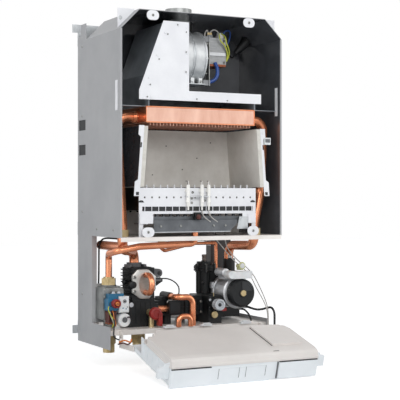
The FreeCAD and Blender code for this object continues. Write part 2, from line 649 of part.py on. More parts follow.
def make_chamber_sides():
    slant = s.case_height - s.corner_cut
    sheet_side = block("chamber_side", (-half_width, -inner_half), (case_front, chamber_back),
                       (s.floor_rise, slant))
    lip = block("side_lip", (-inner_half, -half_width + s.edge_lip), (case_front, case_front + s.steel),
                (floor_top, slant))
    clip_front = case_front + s.clip_setback
    slot = block("clip_slot", (-half_width - 1, -inner_half + 1), (clip_front, clip_front + s.clip_width),
                 (s.clip_low, s.clip_high))
    side = cut("chamber_side_sheet", fuse("chamber_side_folded", sheet_side, lip), slot)
    node("chamber_sides", pair("chamber_side_pair", side))


def chamber_outline(offset, low):
    """Corners of the chamber's roof line, drawn in by a number of sheet thicknesses."""
    side = half_width - s.steel * offset
    top = s.case_height - s.steel * offset
    shoulder = s.case_height - s.corner_cut - slope_steel * offset
    flat = half_width - s.corner_cut - slope_steel * offset
    return [(-side, low), (side, low), (side, shoulder), (flat, top), (-flat, top), (-side, shoulder)]


def make_chamber_top():
    low = s.case_height - s.corner_cut
    outer_flat = half_width - s.corner_cut
    flat = outer_flat - slope_steel
    foot = half_width - s.steel * math.sqrt(2)
    outline = [(half_width, low), (outer_flat, s.case_height), (-outer_flat, s.case_height),
               (-half_width, low),
               (-foot, low), (-flat, s.case_height - s.steel), (flat, s.case_height - s.steel), (foot, low)]
    roof = plate("roof_sheet", "front", outline, case_front, s.chamber_depth)
    hole = rod("flue_hole", "z", (s.flue_x, s.flue_y), s.flue_radius + s.fit_gap,
               (s.case_height - s.steel - 1, s.case_height + 1))
    node("chamber_top", cut("roof", roof, hole))


def make_chamber_back():
    outline = chamber_outline(1, floor_top)
    node("chamber_back", plate("back_sheet", "front", outline, chamber_back - s.steel, s.steel))


def floor_holes():
    """The pipes that pass the chamber's floor: their places and radii."""
    return [(s.flow_x, s.flow_y, s.main_pipe), (s.return_x, s.return_y, s.main_pipe),
            (s.gas_riser_x, s.manifold_y, s.gas_pipe)]


def make_chamber_floor():
    outline = rectangle((-inner_half, inner_half), (case_front, chamber_back))
    holes = [(x, y, radius + s.grommet_wall) for x, y, radius in floor_holes()]
    holes += [(x, y, radius) for x, y, radius in lead_holes()]
    sheet_floor = plate("floor_sheet", "flat", outline, s.floor_rise, s.steel, holes)
    lip = block("floor_lip", (-inner_half, inner_half), (case_front, case_front + s.steel),
                (s.floor_rise - s.floor_lip, s.floor_rise))
    node("chamber_floor", fuse("folded_floor", sheet_floor, lip))


def lead_holes():
    """Where the electrode leads pass the floor: their places and the radius of their grommets' waists."""
    return [(s.lead_x + side * s.lead_pitch / 2, s.lead_y, s.lead_cord + s.grommet_wall) for side in (-1,
                                                                                                      1)]


def make_floor_grommets():
    """Rubber rings that seal each pipe and lead where it passes the floor."""
    rings = []
    for x, y, radius in floor_holes() + [(x, y, radius - s.grommet_wall) for x, y, radius in lead_holes()]:
        waist = rod("grommet_waist", "z", (x, y), radius + s.grommet_wall, (s.floor_rise, floor_top))
        skirt = rod("grommet_skirt", "z", (x, y), radius + 2 * s.grommet_wall,
                    (s.floor_rise - 2, s.floor_rise))
        bore = rod("grommet_bore", "z", (x, y), radius + s.shaft_gap, (s.floor_rise - 3, floor_top + 1))
        rings.append(cut("grommet", fuse("grommet_body", waist, skirt), bore))
    node("floor_grommets", group("grommets", *rings))


def make_cover_lugs():
    """White lugs that take the chamber cover's screws, the casing's corner brackets and its side clips."""
    pieces = []
    top_inside = s.case_height - s.steel
    for side in (-1, 1):
        for low, high, span in ((top_inside - s.lug_height, top_inside, s.lug_span),
                                (floor_top, floor_top + s.lug_height, s.low_lug_span)):
            x = s.lug_shift + side * span / 2
            middle = low + s.lug_height / 2
            end = s.lug_height / 2
            reach = s.lug_width / 2 - end
            flat = (case_front, case_front + s.lug_steel)
            bar = block("lug_middle", (x - reach, x + reach), flat, (low, high))
            ends = [rod("lug_end", "y", (x + shift, middle), end, flat) for shift in (reach, -reach)]
            hole = rod("lug_hole", "y", (x, middle), s.lug_hole,
                       (case_front - 1, case_front + s.lug_steel + 1))
            pieces.append(cut("lug", fuse("lug_plate", bar, *ends), hole))
    flat = half_width - s.corner_cut
    shoulder = s.case_height - s.corner_cut
    edge = inner_half - s.lug_hole
    inset = half_width - edge
    outline = [(-edge, shoulder + inset), (-flat, s.case_height), (-flat, s.bracket_top),
               (-edge, s.bracket_top)]
    hole = (-edge + 2 * s.lug_hole, s.bracket_top - 7 * s.lug_hole, s.lug_hole)
    bracket = plate("casing_bracket", "front", outline, case_front + s.bracket_setback, s.lug_steel, [hole])
    clip_front = case_front + s.clip_setback
    clip = block("casing_clip", (-half_width - s.clip_proud, -inner_half + s.clip_proud),
                 (clip_front, clip_front + s.clip_width), (s.clip_low, s.clip_high))
    pieces += [bracket, mirrored("casing_bracket_right", bracket), clip,
               mirrored("casing_clip_right", clip)]
    node("cover_lugs", group("lugs_and_brackets", *pieces))


# Flue, hood and fan

def make_flue_spigot():
    centre = (s.flue_x, s.flue_y)
    pipe_wall = tube("flue_pipe", "z", centre, s.flue_radius, s.flue_wall, (s.flue_low, s.flue_top))
    ring = rod("flue_ring", "z", centre, s.flue_flange, (s.case_height, s.case_height + s.flue_wall))
    bore = rod("flue_ring_bore", "z", centre, s.flue_radius,
               (s.case_height - 1, s.case_height + s.flue_wall + 1))
    node("flue_spigot", fuse("flue_and_ring", pipe_wall, cut("flue_collar", ring, bore)))


def make_smoke_hood():
    """The folded hood that gathers the smoke: open below, and open in front behind its white plate."""
    front = -s.hood_front
    outline = [(-s.hood_left, s.hood_low), (s.hood_right, s.hood_low), (s.hood_right, s.hood_roof),
               (-s.hood_peak_right, s.hood_roof), (-s.hood_peak_right, s.hood_top),
               (-s.hood_peak_left, s.hood_top),
               (-s.hood_left, s.hood_shoulder)]
    inside = [(-s.hood_left + s.steel, s.hood_low - 1), (s.hood_right - s.steel, s.hood_low - 1),
              (s.hood_right - s.steel, s.hood_roof - s.steel),
              (-s.hood_peak_right - s.steel, s.hood_roof - s.steel),
              (-s.hood_peak_right - s.steel, s.hood_top - s.steel),
              (-s.hood_peak_left + s.steel, s.hood_top - s.steel),
              (-s.hood_left + s.steel, s.hood_shoulder)]
    outer = plate("hood_outside", "front", outline, front, s.hood_front - s.hood_back)
    inner = plate("hood_inside", "front", inside, front - 1, s.hood_front - s.hood_back - s.steel + 1)
    inlet = rod("hood_inlet", "x", (s.fan_y, s.fan_rise), s.fan_inlet,
                (-s.hood_peak_right - s.steel - 1, -s.hood_peak_right + 1))
    low = (s.hood_low, s.hood_low + s.steel)
    depth = (-s.strap_front, -s.strap_front + s.strap_width)
    reach = inner_half - s.clip_proud
    left = block("left_strap", (-reach, -s.hood_left), depth, low)
    right = block("right_strap", (s.hood_right, reach), depth, low)
    node("smoke_hood", fuse("hood_and_straps", cut("hood_shell", outer, inner, inlet), left, right))


def hood_screws():
    """Sheet metal screws that hold the hood's front plate."""
    right = -s.hood_peak_right - 2 * s.screw_radius
    slope = (s.plate_left - s.plate_peak_left) / (s.plate_top - s.plate_shoulder)
    spots = [(right, s.plate_top - 12), (right, s.fan_rise), (right, s.fan_rise - s.fan_screw_drop)]
    for drop in [s.screw_drop + s.screw_step * step for step in range(3)]:
        spots.append((-s.plate_peak_left + s.screw_inset - slope * drop, s.plate_top - drop))
    low = s.plate_low + 2 * s.screw_radius
    spots += [(-s.hood_left + 6, low), (s.seam_screw_left, low), (s.seam_screw_right, low),
              (s.roof_screw_x, s.plate_top - 8)]
    face = -s.hood_front - s.steel
    return [rod("screw", "y", (x, rise), s.screw_radius, (face - s.screw_head, face)) for x, rise in spots]


def make_hood_front_plate():
    outline = [(-s.plate_left, s.plate_low), (s.plate_right, s.plate_low),
               (s.plate_right, s.plate_strip_top),
               (-s.hood_peak_right, s.plate_strip_top), (-s.hood_peak_right, s.plate_top),
               (-s.plate_peak_left, s.plate_top),
               (-s.plate_left, s.plate_shoulder)]
    sheet_plate = plate("hood_plate", "front", outline, -s.hood_front - s.steel, s.steel)
    node("hood_front_plate", fuse("plate_and_screws", sheet_plate, *hood_screws()))


fan_left = -s.hood_peak_right
fan_right = fan_left + s.volute_width
motor_left = fan_right + s.motor_standoff


def make_fan_volute():
    centre = (s.fan_y, s.fan_rise)
    drum = rod("drum", "x", centre, s.volute_radius, (fan_left, fan_right))
    middle = fan_left + s.volute_width / 2
    rims = [rod("rim", "x", centre, s.volute_radius + s.volute_rim, (x, x + s.volute_rim))
            for x in (middle, fan_right - s.volute_rim)]
    outlet = rod("outlet", "z", (s.flue_x, s.flue_y), s.flue_radius - s.flue_wall - s.fit_gap,
                 (s.fan_outlet_low, s.flue_low - s.outlet_gap))
    hollow = rod("drum_hollow", "x", centre, s.volute_radius - s.volute_wall,
                 (fan_left + s.volute_wall, fan_right - s.volute_wall))
    outlet_bore = rod("outlet_bore", "z", (s.flue_x, s.flue_y),
                      s.flue_radius - s.flue_wall - s.fit_gap - s.volute_wall,
                      (s.fan_outlet_low, s.flue_low + 1))
    inlet = rod("drum_inlet", "x", centre, s.fan_inlet, (fan_left - 1, fan_left + s.volute_wall + 1))
    shaft_hole = rod("shaft_hole", "x", centre, s.shaft_radius + 1,
                     (fan_right - s.volute_wall - 1, fan_right + 1))
    body = fuse("drum_and_outlet", drum, outlet, *rims)
    node("fan_volute", cut("volute", body, hollow, outlet_bore, inlet, shaft_hole))


def make_fan_motor():
    centre = (s.fan_y, s.fan_rise)
    right = motor_left + s.motor_length
    near = s.fan_y - s.motor_depth / 2
    far = s.fan_y + s.motor_depth / 2
    stack = block("motor_stack", (motor_left, right), (near, far), (s.motor_low, s.motor_high))
    bearing = rod("motor_bearing", "x", centre, s.shaft_radius * 3, (right, right + s.shaft_radius))
    bore = rod("motor_bore", "x", centre, s.shaft_radius + s.shaft_gap, (motor_left - 1, right))
    body = cut("motor_body", fuse("motor_solid", stack, bearing), bore)
    strut_right = motor_left
    strut = block("motor_strut", (strut_right - s.volute_wall, strut_right),
                  (near - s.strut_width, near + 1),
                  (s.strut_low, s.motor_high))
    dampers = [block("damper", (fan_right, strut_right - s.volute_wall), (near - s.damper_size, near),
                     (low, low + s.damper_size))
               for low in (s.strut_low, s.motor_high - s.damper_size)]
    standoffs = [rod("standoff", "x", (far - 2 * s.standoff_radius, rise), s.standoff_radius,
                     (fan_right, motor_left))
                 for rise in (s.motor_low + s.damper_size, s.motor_high - s.damper_size)]
    terminals = [block("terminal", (x, x + s.terminal_width),
                       (near + s.volute_wall, near + s.terminal_width),
                       (s.motor_high, s.motor_high + s.terminal_height))
                 for x in (motor_left + s.volute_wall, right - s.terminal_width - s.volute_wall)]
    sleeve_y = near - s.sleeve_radius - 1
    loop = pipe("supply_sleeve", [(motor_left + s.motor_length / 3, near, s.motor_low + 8),
                                  (motor_left + s.motor_length / 3, sleeve_y - 6, s.motor_low + 8),
                                  (motor_left + s.motor_length / 3, sleeve_y - 6, s.strut_low + 6),
                                  (motor_left, sleeve_y - 6, s.strut_low + 6)], s.sleeve_radius, 9)
    node("fan_motor", group("motor_set", body, strut, *dampers, *standoffs, *terminals, loop))


def make_fan_wheel():
    """The wheel runs free inside the drum, on a shaft that turns in the motor's bearing."""
    centre = (s.fan_y, s.fan_rise)
    start = fan_left + s.volute_width / 2 - s.wheel_width / 2
    end = start + s.wheel_width
    disc = rod("wheel_disc", "x", centre, s.wheel_radius, (end - s.wheel_disc, end))
    hub = rod("wheel_hub", "x", centre, s.wheel_hub, (end - s.wheel_width / 2, end))
    ring = tube("wheel_ring", "x", centre, s.wheel_radius, s.wheel_disc * 2, (start, start + s.wheel_disc))
    shaft = rod("wheel_shaft", "x", centre, s.shaft_radius,
                (end - s.wheel_width / 2, motor_left + s.motor_length - s.fit_gap))
    blades = []
    count = int(sheet.wheel_blades)
    for index in range(count):
        blade = doc.addObject("Part::Box", "wheel_blade")
        bind(blade, "Length", s.wheel_width)
        bind(blade, "Width", s.wheel_disc * 2)
        bind(blade, "Height", s.wheel_blade)
        angle = 360.0 / count * index
        turn = FreeCAD.Rotation(FreeCAD.Vector(1, 0, 0), angle)
        blade.Placement = FreeCAD.Placement(FreeCAD.Vector(), turn)
        reach = s.wheel_radius - s.wheel_disc * 2
        move(blade, start, s.fan_y + reach * math.cos(math.radians(angle)),
             up(s.fan_rise + reach * math.sin(math.radians(angle))))
        blades.append(blade)
    node("fan_wheel", fuse("wheel", disc, hub, ring, shaft, *blades))


# Heat exchanger and the two pipes that feed it

core_left = s.core_x - s.core_width / 2
core_right = s.core_x + s.core_width / 2


def make_exchanger_case():
    depth = (-s.core_front, -s.core_back)
    outer = block("case_outside", (core_left, core_right), depth, (s.core_low, s.core_top))
    inner = block("case_inside", (core_left + s.core_copper, core_right - s.core_copper),
                  (depth[0] + s.core_copper, depth[1] - s.core_copper), (s.core_low - 1, s.core_top + 1))
    ports = [rod("flow_port", "x", (s.flow_y, s.header_rise), s.main_pipe - s.pipe_wall,
                 (core_left - 1, core_left + s.core_copper + 1)),
             rod("return_port", "x", (s.return_y, s.header_rise), s.main_pipe - s.pipe_wall,
                 (core_right - s.core_copper - 1, core_right + 1))]
    node("exchanger_case", cut("case_walls", outer, inner, *ports))


def make_exchanger_core():
    """Fins brazed on the water tubes, one piece inside the copper case."""
    inside = (core_left + s.core_copper, core_right - s.core_copper)
    depth = (-s.core_front + s.core_copper, -s.core_back - s.core_copper)
    rise = (s.core_low + s.core_top) / 2
    count = int(s.core_width.number / s.fin_pitch.number) - 1
    first = s.core_x - s.fin_pitch * (count - 1) / 2
    fins = [block("fin", (first + s.fin_pitch * index - s.fin_thickness / 2,
                          first + s.fin_pitch * index + s.fin_thickness / 2),
                  depth, (s.fin_low, s.core_top)) for index in range(count)]
    middle = -(s.core_front + s.core_back) / 2
    rows = [middle + s.tube_pitch * index for index in (-2, -1, 0, 1, 2)]
    tubes = [rod("water_tube", "x", (y, rise), s.tube_radius, inside) for y in rows]
    bores = [rod("water_bore", "x", (y, rise), s.tube_radius - 1,
                 (inside[0] - 1, inside[1] + 1)) for y in rows]
    node("exchanger_core", cut("bored_core", fuse("fins_and_tubes", *fins, *tubes), *bores))


def make_flow_pipe():
    """Hot water leaves the exchanger on the left, passes the floor and drops to the diverter group."""
    run = pipe("flow_run", [(core_left, s.flow_y, s.header_rise), (s.flow_side_x, s.flow_y, s.header_rise),
                            (s.flow_x, s.flow_y, floor_top + s.knee_above),
                            (s.flow_x, s.flow_y, s.flow_turn), (s.inlet_x, s.inlet_y, s.flow_turn - 8),
                            (s.inlet_x, s.inlet_y, s.inlet_high)], s.main_pipe, s.pipe_bend, s.pipe_wall)
    stub = rod("flow_stub", "y", (s.flow_x, s.stub_rise), s.stub_radius, (s.flow_y, -s.stub_end))
    bore = rod("stub_bore", "y", (s.flow_x, s.stub_rise), s.stub_radius - s.pipe_wall,
               (s.flow_y, -s.stub_end - s.pipe_wall))
    waterway = rod("riser_bore", "z", (s.flow_x, s.flow_y), s.main_pipe - s.pipe_wall,
                   (s.stub_rise - s.main_pipe, s.stub_rise + s.main_pipe))
    node("flow_pipe", fuse("flow_pipe_and_stub", run, cut("stub", stub, bore, waterway)))


def make_return_pipe():
    """Cool water rises from the pump, passes the floor and enters the exchanger on the right."""
    node("return_pipe", pipe("return_run", [
        (core_right, s.return_y, s.header_rise), (s.return_side_x, s.return_y, s.header_rise),
        (s.return_knee_x, s.return_y, s.return_knee), (s.return_x, s.return_y, floor_top + s.knee_above),
        (s.return_x, s.return_y, s.return_turn), (s.return_in_x, s.return_in_y, s.return_turn - 4),
        (s.return_in_x, s.return_in_y, s.return_socket)], s.main_pipe, s.pipe_bend, s.pipe_wall))


# Combustion chamber and burner

fire_left = s.fire_x - s.fire_width / 2
shell_left = fire_left + s.bracket_strip / 2


def fire_side(rise, inset=0):
    """The shell's left side at a height. It leans out towards the burner."""
    lean = s.fire_spread / (s.fire_top - s.fire_low)
    return shell_left + inset - lean * (s.fire_top - rise)


def fire_outline(inset, low, high):
    """The shell's front outline between two heights, drawn in by a distance."""
    foot = fire_side(low, inset)
    head = fire_side(high, inset)
    return [(foot, low), (2 * s.fire_x - foot, low), (2 * s.fire_x - head, high), (head, high)]


def make_combustion_chamber():
    """The steel shell round the flame: two sides and a back, with white brackets down its front edges."""
    front = -s.fire_front
    depth = s.fire_front - s.fire_back
    outer = plate("fire_outside", "front", fire_outline(0, s.fire_low, s.fire_top), front, depth)
    inner = plate("fire_inside", "front", fire_outline(s.steel, s.fire_low - 1, s.fire_top + 1), front - 1,
                  depth - s.steel + 1)
    shell = cut("fire_shell", outer, inner)
    lug = s.fire_top - 2 * s.bracket_lug
    waist = lug - s.bracket_lug / 2
    flare = s.flare_top - s.bracket_lug / 2
    outline = [(fire_side(s.flare_low, 2 * s.steel), s.flare_low),
               (fire_side(s.fire_top, 2 * s.steel), s.fire_top)]
    edges = [(s.fire_top, s.bracket_lug), (lug, s.bracket_lug), (waist, s.bracket_edge),
             (s.flare_top, s.bracket_edge),
             (flare, s.flare_reach), (s.flare_low, s.flare_reach)]
    outline += [(fire_side(rise, -reach), rise) for rise, reach in edges]
    hole = (fire_side(s.fire_top) - s.bracket_lug / 2, s.fire_top - s.bracket_lug, s.lug_hole - 1)
    bracket = plate("fire_bracket", "front", outline, front - s.lug_steel, s.lug_steel, [hole])
    node("combustion_chamber", group("chamber_and_brackets", shell, bracket,
                                     mirrored("fire_bracket_right", bracket, s.fire_x)))


def make_ceramic_liner():
    """Three slabs of ceramic fibre: one on each side of the flame and one behind it."""
    low, high = s.fire_low, s.fire_top - s.steel
    thick = s.steel + s.liner
    outline = [(fire_side(low, s.steel), low), (fire_side(low, thick), low), (fire_side(high, thick), high),
               (fire_side(high, s.steel), high)]
    left = plate("liner_left", "front", outline, -s.fire_front, s.fire_front - s.fire_back - s.steel)
    back = plate("liner_back", "front", fire_outline(thick, low, high), -s.fire_back - thick, s.liner)
    node("ceramic_liner", group("liner_slabs", left, mirrored("liner_right", left, s.fire_x), back))


bar_left = s.burner_x - s.bar_width / 2
bar_right = s.burner_x + s.bar_width / 2
blade_count = int(sheet.bar_width / sheet.blade_pitch)


def blade_middle(index):
    return s.burner_x + s.blade_pitch * (index - (blade_count - 1) / 2)


def make_burner_front_bar():
    """The burner's white front plate, with a window and a sight hole at each blade, on two feet."""
    windows = []
    holes = []
    for index in range(blade_count):
        x = blade_middle(index)
        windows.append(rectangle((x - s.window_width / 2, x + s.window_width / 2),
                                 (s.window_low, s.window_high)))
        holes.append((x, s.hole_rise, s.hole_radius))
    bar = plate("burner_bar", "front", rectangle((bar_left, bar_right), (s.bar_low, s.bar_high)),
                -s.bar_front, s.lug_steel,
                holes, windows)
    feet = []
    for outer in (bar_left, bar_right - s.leg_width):
        feet.append(block("burner_leg", (outer, outer + s.leg_width),
                          (-s.bar_front, -s.bar_front + s.lug_steel),
                          (floor_top, s.bar_low)))
        feet.append(block("burner_foot", (outer, outer + s.leg_width),
                          (-s.bar_front + s.lug_steel, -s.bar_front + s.foot_width),
                          (floor_top, floor_top + s.lug_steel)))
    for x in (bar_left + s.leg_width, bar_right - s.leg_width - s.foot_width):
        feet.append(block("foot_plate", (x, x + s.foot_width), (-s.bar_front, -s.bar_front + s.lug_steel),
                          (s.foot_low, s.foot_top)))
    node("burner_front_bar", fuse("bar_and_feet", bar, *feet))


def make_burner_blades():
    """Flat burner tubes side by side, joined by a rail at the back."""
    start = -s.bar_front + s.lug_steel
    pieces = []
    for index in range(blade_count):
        x = (blade_middle(index) - s.blade_width / 2, blade_middle(index) + s.blade_width / 2)
        body = block("blade", x, (start, -s.blade_back), (s.blade_low, s.blade_high))
        throat = block("blade_throat", (x[0] + s.steel, x[1] - s.steel), (start - 1, start + s.foot_width),
                       (s.window_low - 1, s.window_high))
        pieces.append(cut("blade_body", body, throat))
    rail = block("blade_rail", (bar_left, bar_right), (-s.blade_back, -s.blade_back + s.lug_steel),
                 (s.blade_low, s.blade_high))
    node("burner_blades", fuse("blades_and_rail", rail, *pieces))


def make_gas_manifold():
    """The tube under the blades that feeds a brass jet to each of them."""
    y = (s.manifold_y - s.manifold_width / 2, s.manifold_y + s.manifold_width / 2)
    rise = (s.manifold_low, s.manifold_high)
    left = bar_left + s.leg_width
    right = bar_right - s.leg_width
    tube_outside = block("manifold_tube", (left, right), y, rise)
    hollow = block("manifold_hollow", (left + s.lug_steel, right - s.lug_steel),
                   (y[0] + s.lug_steel, y[1] - s.lug_steel),
                   (rise[0] + s.lug_steel, rise[1] - s.lug_steel))
    port = rod("manifold_port", "z", (s.gas_riser_x, s.manifold_y), s.gas_pipe - s.pipe_wall,
               (rise[0] - 1, rise[0] + s.lug_steel + 1))
    shell = cut("manifold_shell", tube_outside, hollow, port)
    jets = [taper("jet", "z", (blade_middle(index), s.manifold_y), (s.jet_radius, s.jet_radius / 2),
                  (s.manifold_high, s.blade_low - s.fit_gap)) for index in range(blade_count)]
    arms = [block("manifold_arm", (x, x + s.leg_width), (-s.bar_front + s.lug_steel, y[1]),
                  (rise[0], rise[0] + s.lug_steel))
            for x in (bar_left, right)]
    node("gas_manifold", fuse("manifold_and_jets", shell, *jets, *arms))


def electrode_x(index):
    return s.gas_riser_x + s.electrode_shift + s.electrode_pitch * index


def make_electrodes():
    """Two sparking electrodes and a flame probe in white ceramic, on a plate across the front bar."""
    pieces = []
    front = -s.bar_front
    for index in (-2, 0, 1):
        x = electrode_x(index)
        centre = (x, s.electrode_y)
        pieces.append(rod("ceramic", "z", centre, s.electrode_radius, (s.electrode_low, s.electrode_high)))
        pieces.append(rod("tip", "z", centre, s.pin_radius,
                          (s.electrode_high, s.electrode_high + 2 * s.electrode_radius)))
        pieces.append(rod("tail", "z", centre, s.pin_radius * 2,
                          (s.electrode_low - 2 * s.electrode_radius, s.electrode_low)))
        pieces.append(block("holder", (x - s.electrode_radius - 1, x + s.electrode_radius + 1),
                            (s.electrode_y + 1, front),
                            (s.hole_rise + s.window_width, s.hole_rise + s.window_width + 6)))
    node("electrodes", group("electrode_set", fuse("electrodes_and_holder", *pieces)))


# Gas line

def make_gas_pipe():
    """From the valve's neck up beside the frame, along under the floor and up into the burner."""
    node("gas_pipe", pipe("gas_run", [
        (s.gas_x, s.gas_y, s.valve_high), (s.gas_x, s.gas_y, s.gas_turn),
        (s.gas_side_x, s.gas_side_y, s.gas_turn + 7),
        (s.gas_side_x, s.gas_front_y, s.gas_front_rise), (s.gas_mid_x, s.gas_front_y - 7, s.gas_mid_rise),
        (s.gas_riser_x, s.manifold_y, s.gas_run_rise), (s.gas_riser_x, s.manifold_y, s.manifold_low)],
        s.gas_pipe, s.gas_bend, s.pipe_wall))


def make_gas_valve_body():
    half = s.valve_width / 2
    x = (s.gas_x - half, s.gas_x + half)
    body = block("valve_block", x, (-s.valve_front, -s.low_channel_depth), (s.valve_low, s.valve_high - 6))
    cap = block("valve_cap", (x[0] + 4, x[1] - 2), (-s.valve_front + 4, -s.low_channel_depth - 4),
                (s.valve_high - 6, s.valve_high - 2))
    neck = rod("valve_neck", "z", (s.gas_x, s.gas_y), s.neck_radius, (s.valve_high - 2, s.valve_high))
    foot = rod("valve_foot", "z", (s.gas_x, s.gas_y), s.neck_radius, (s.tray_rise + s.steel, s.valve_low))
    inlet = rod("valve_inlet", "z", (s.gas_x, s.gas_y), s.gas_pipe - s.pipe_wall,
                (s.tray_rise, s.valve_low + 20))
    outlet = rod("valve_outlet", "z", (s.gas_x, s.gas_y), s.gas_pipe - s.pipe_wall,
                 (s.valve_high - 25, s.valve_high + 1))
    node("gas_valve_body", cut("valve_casting", fuse("valve_solid", body, cap, neck, foot), inlet, outlet))


def make_gas_valve_coils():
    """What the valve's front carries: the regulator with its capped screw, the plug block and the coils."""
    front = (-s.blue_front, -s.valve_front)
    blue = block("regulator", (-s.blue_left, -s.blue_right), front, (s.blue_low, s.blue_high))
    dial = rod("regulator_cap", "y", (s.dial_x, s.dial_rise), s.dial_radius, (-s.dial_front, -s.blue_front))
    dial_tip = rod("regulator_tip", "y", (s.dial_x, s.dial_rise), s.dial_radius * 0.55,
                   (-s.dial_front - 3, -s.dial_front))
    white = block("plug_block", (-s.blue_right, -s.white_right), (-s.blue_front, -s.valve_front),
                  (s.white_low, s.white_high))
    drum = rod("drum_coil", "y", (-(s.blue_right + s.white_right) / 2 + 2, (s.drum_low + s.drum_high) / 2),
               (s.drum_high - s.drum_low) / 2, (-s.blue_front, -s.valve_front))
    coil = block("dark_coil", (-s.blue_left + 2, -s.blue_right - 6), (-s.blue_front + 4, -s.valve_front),
                 (s.coil_low + 10, s.coil_high))
    node("gas_valve_coils", group("valve_fittings", blue, fuse("regulator_screw", dial, dial_tip), white,
                                  drum, coil))


def make_brass_fittings():
    """The gas pipe's union nut, the flow and return sockets, and the filling tap's brass body."""
    nut = hexagon("union_nut", "z", (s.gas_x, s.gas_y), s.nut_across,
                  (s.valve_high, s.valve_high + s.nut_height))
    ring = rod("union_ring", "z", (s.gas_x, s.gas_y), s.neck_radius,
               (s.valve_high + s.nut_height, s.valve_high + s.nut_height + 3))
    bore = rod("union_bore", "z", (s.gas_x, s.gas_y), s.gas_pipe + s.shaft_gap,
               (s.valve_high - 1, s.valve_high + s.nut_height + 4))
    union = cut("union", fuse("union_solid", nut, ring), bore)
    sockets = []
    for x, y in ((s.flow_x, s.flow_y), (s.return_x, s.return_y)):
        collar = hexagon("pipe_collar", "z", (x, y), 2 * s.main_pipe + 6,
                         (floor_top, floor_top + s.nut_height))
        hole = rod("pipe_collar_bore", "z", (x, y), s.main_pipe + s.shaft_gap,
                   (floor_top - 1, floor_top + s.nut_height + 1))
        sockets.append(cut("collar", collar, hole))
    tap_centre = (s.tap_x, s.tap_rise)
    barrel = rod("tap_barrel", "y", tap_centre, s.tap_stem + 2,
                 (-s.tap_front + s.tap_disc + s.fit_gap, -s.tap_back))
    spindle_bore = rod("tap_bore", "y", tap_centre, s.tap_stem / 2 + s.shaft_gap,
                       (-s.tap_front, -s.tap_back - 4))
    down = rod("tap_stem", "z", (s.tap_x, -s.tap_back - s.tap_stem - 4), s.tap_stem,
               (s.tray_rise + s.steel, s.tap_rise))
    tap = cut("tap_body", fuse("tap_solid", barrel, down), spindle_bore)
    front = -s.front_block_front
    plug = rod("drain_plug", "y", (s.plug_x, s.plug_rise), s.plug_radius, (front - s.plug_proud, front))
    slot = block("plug_slot", (s.plug_x - s.plug_radius, s.plug_x + s.plug_radius),
                 (front - s.plug_proud - 1, front - s.plug_proud + 2),
                 (s.plug_rise - 1, s.plug_rise + 1))
    node("brass_fittings", group("brass_set", union, tap, cut("slotted_plug", plug, slot), *sockets))


# Diverter group on the left

def make_diverter_block():
    """A black moulded block: flow comes in on top, and the spindle sends it to heating or to hot water."""
    x = (-s.block_left, -s.block_right)
    y = (-s.block_front, -s.block_back)
    tall = block("diverter_tower", x, y, (s.block_low, s.block_high))
    foot = block("diverter_foot", (-s.block_left - 6, -s.block_foot_right), y,
                 (s.tray_rise + s.steel, s.block_waist - 6))
    inlet = rod("diverter_inlet", "z", (s.inlet_x, s.inlet_y), s.inlet_radius, (s.block_high, s.inlet_high))
    ribs = [block("diverter_rib", (-s.block_left - s.rib_reach, -s.block_left), (y[0] + 4, y[1] - 6),
                  (s.block_waist + 14 * index,
                   s.block_waist + 14 * index + s.rib_thickness)) for index in range(6)]
    inlet_bore = rod("diverter_inlet_bore", "z", (s.inlet_x, s.inlet_y), s.main_pipe - s.pipe_wall,
                     (s.spindle_rise, s.inlet_high + 1))
    spindle_bore = rod("spindle_bore", "x", (s.spindle_y, s.spindle_rise), s.pocket_radius,
                       (-s.block_left + 8, -s.block_right + 1))
    node("diverter_block", cut("diverter_body", fuse("diverter_solid", tall, foot, inlet, *ribs),
                               inlet_bore, spindle_bore))


def make_diverter_cover():
    """The bright six sided cover on the block's front, which holds the copper return bend."""
    half = s.cover_width / 2
    tall = s.cover_height / 2
    x, rise = s.cover_x, s.cover_rise
    outline = [(x - half, rise - tall * 0.55), (x - half * 0.3, rise - tall),
               (x + half * 0.45, rise - tall),
               (x + half, rise - tall * 0.4), (x + half, rise + tall * 0.5), (x + half * 0.35, rise + tall),
               (x - half * 0.55, rise + tall), (x - half, rise + tall * 0.6)]
    holes = [(x + 6, rise + side * s.bend_drop / 2, s.bend_tube + s.shaft_gap) for side in (-1, 1)]
    node("diverter_cover", plate("cover_plate", "front", outline, -s.block_front - s.cover_steel,
                                 s.cover_steel, holes))


def make_diverter_actuator():
    """The motor that pushes the spindle, in two black housings on the block's right side."""
    x = (-s.block_right, -s.actuator_right)
    y = (s.spindle_y - s.neck_radius, s.spindle_y + s.neck_radius)
    head = block("actuator_head", (x[0], x[1] - 6), y,
                 ((s.actuator_low + s.actuator_high) / 2 - 4, s.actuator_high))
    foot = block("actuator_foot", x, (y[0] - 4, y[1]),
                 (s.actuator_low, (s.actuator_low + s.actuator_high) / 2 - 4))
    bore = rod("actuator_bore", "x", (s.spindle_y, s.spindle_rise), s.spindle_radius + 1,
               (x[0] - 1, x[1] - 8))
    node("diverter_actuator", cut("actuator", fuse("actuator_solid", head, foot), bore))


def make_diverter_spindle():
    """The spindle and its valve disc, which travel along X inside the block."""
    centre = (s.spindle_y, s.spindle_rise)
    stem = rod("spindle_stem", "x", centre, s.spindle_radius, (-s.block_left + 10, -s.block_right + 2))
    disc = rod("spindle_disc", "x", centre, s.pocket_radius - s.fit_gap,
               (-s.block_left + 12, -s.block_left + 16))
    node("diverter_spindle", fuse("spindle", stem, disc))


# Between the two groups

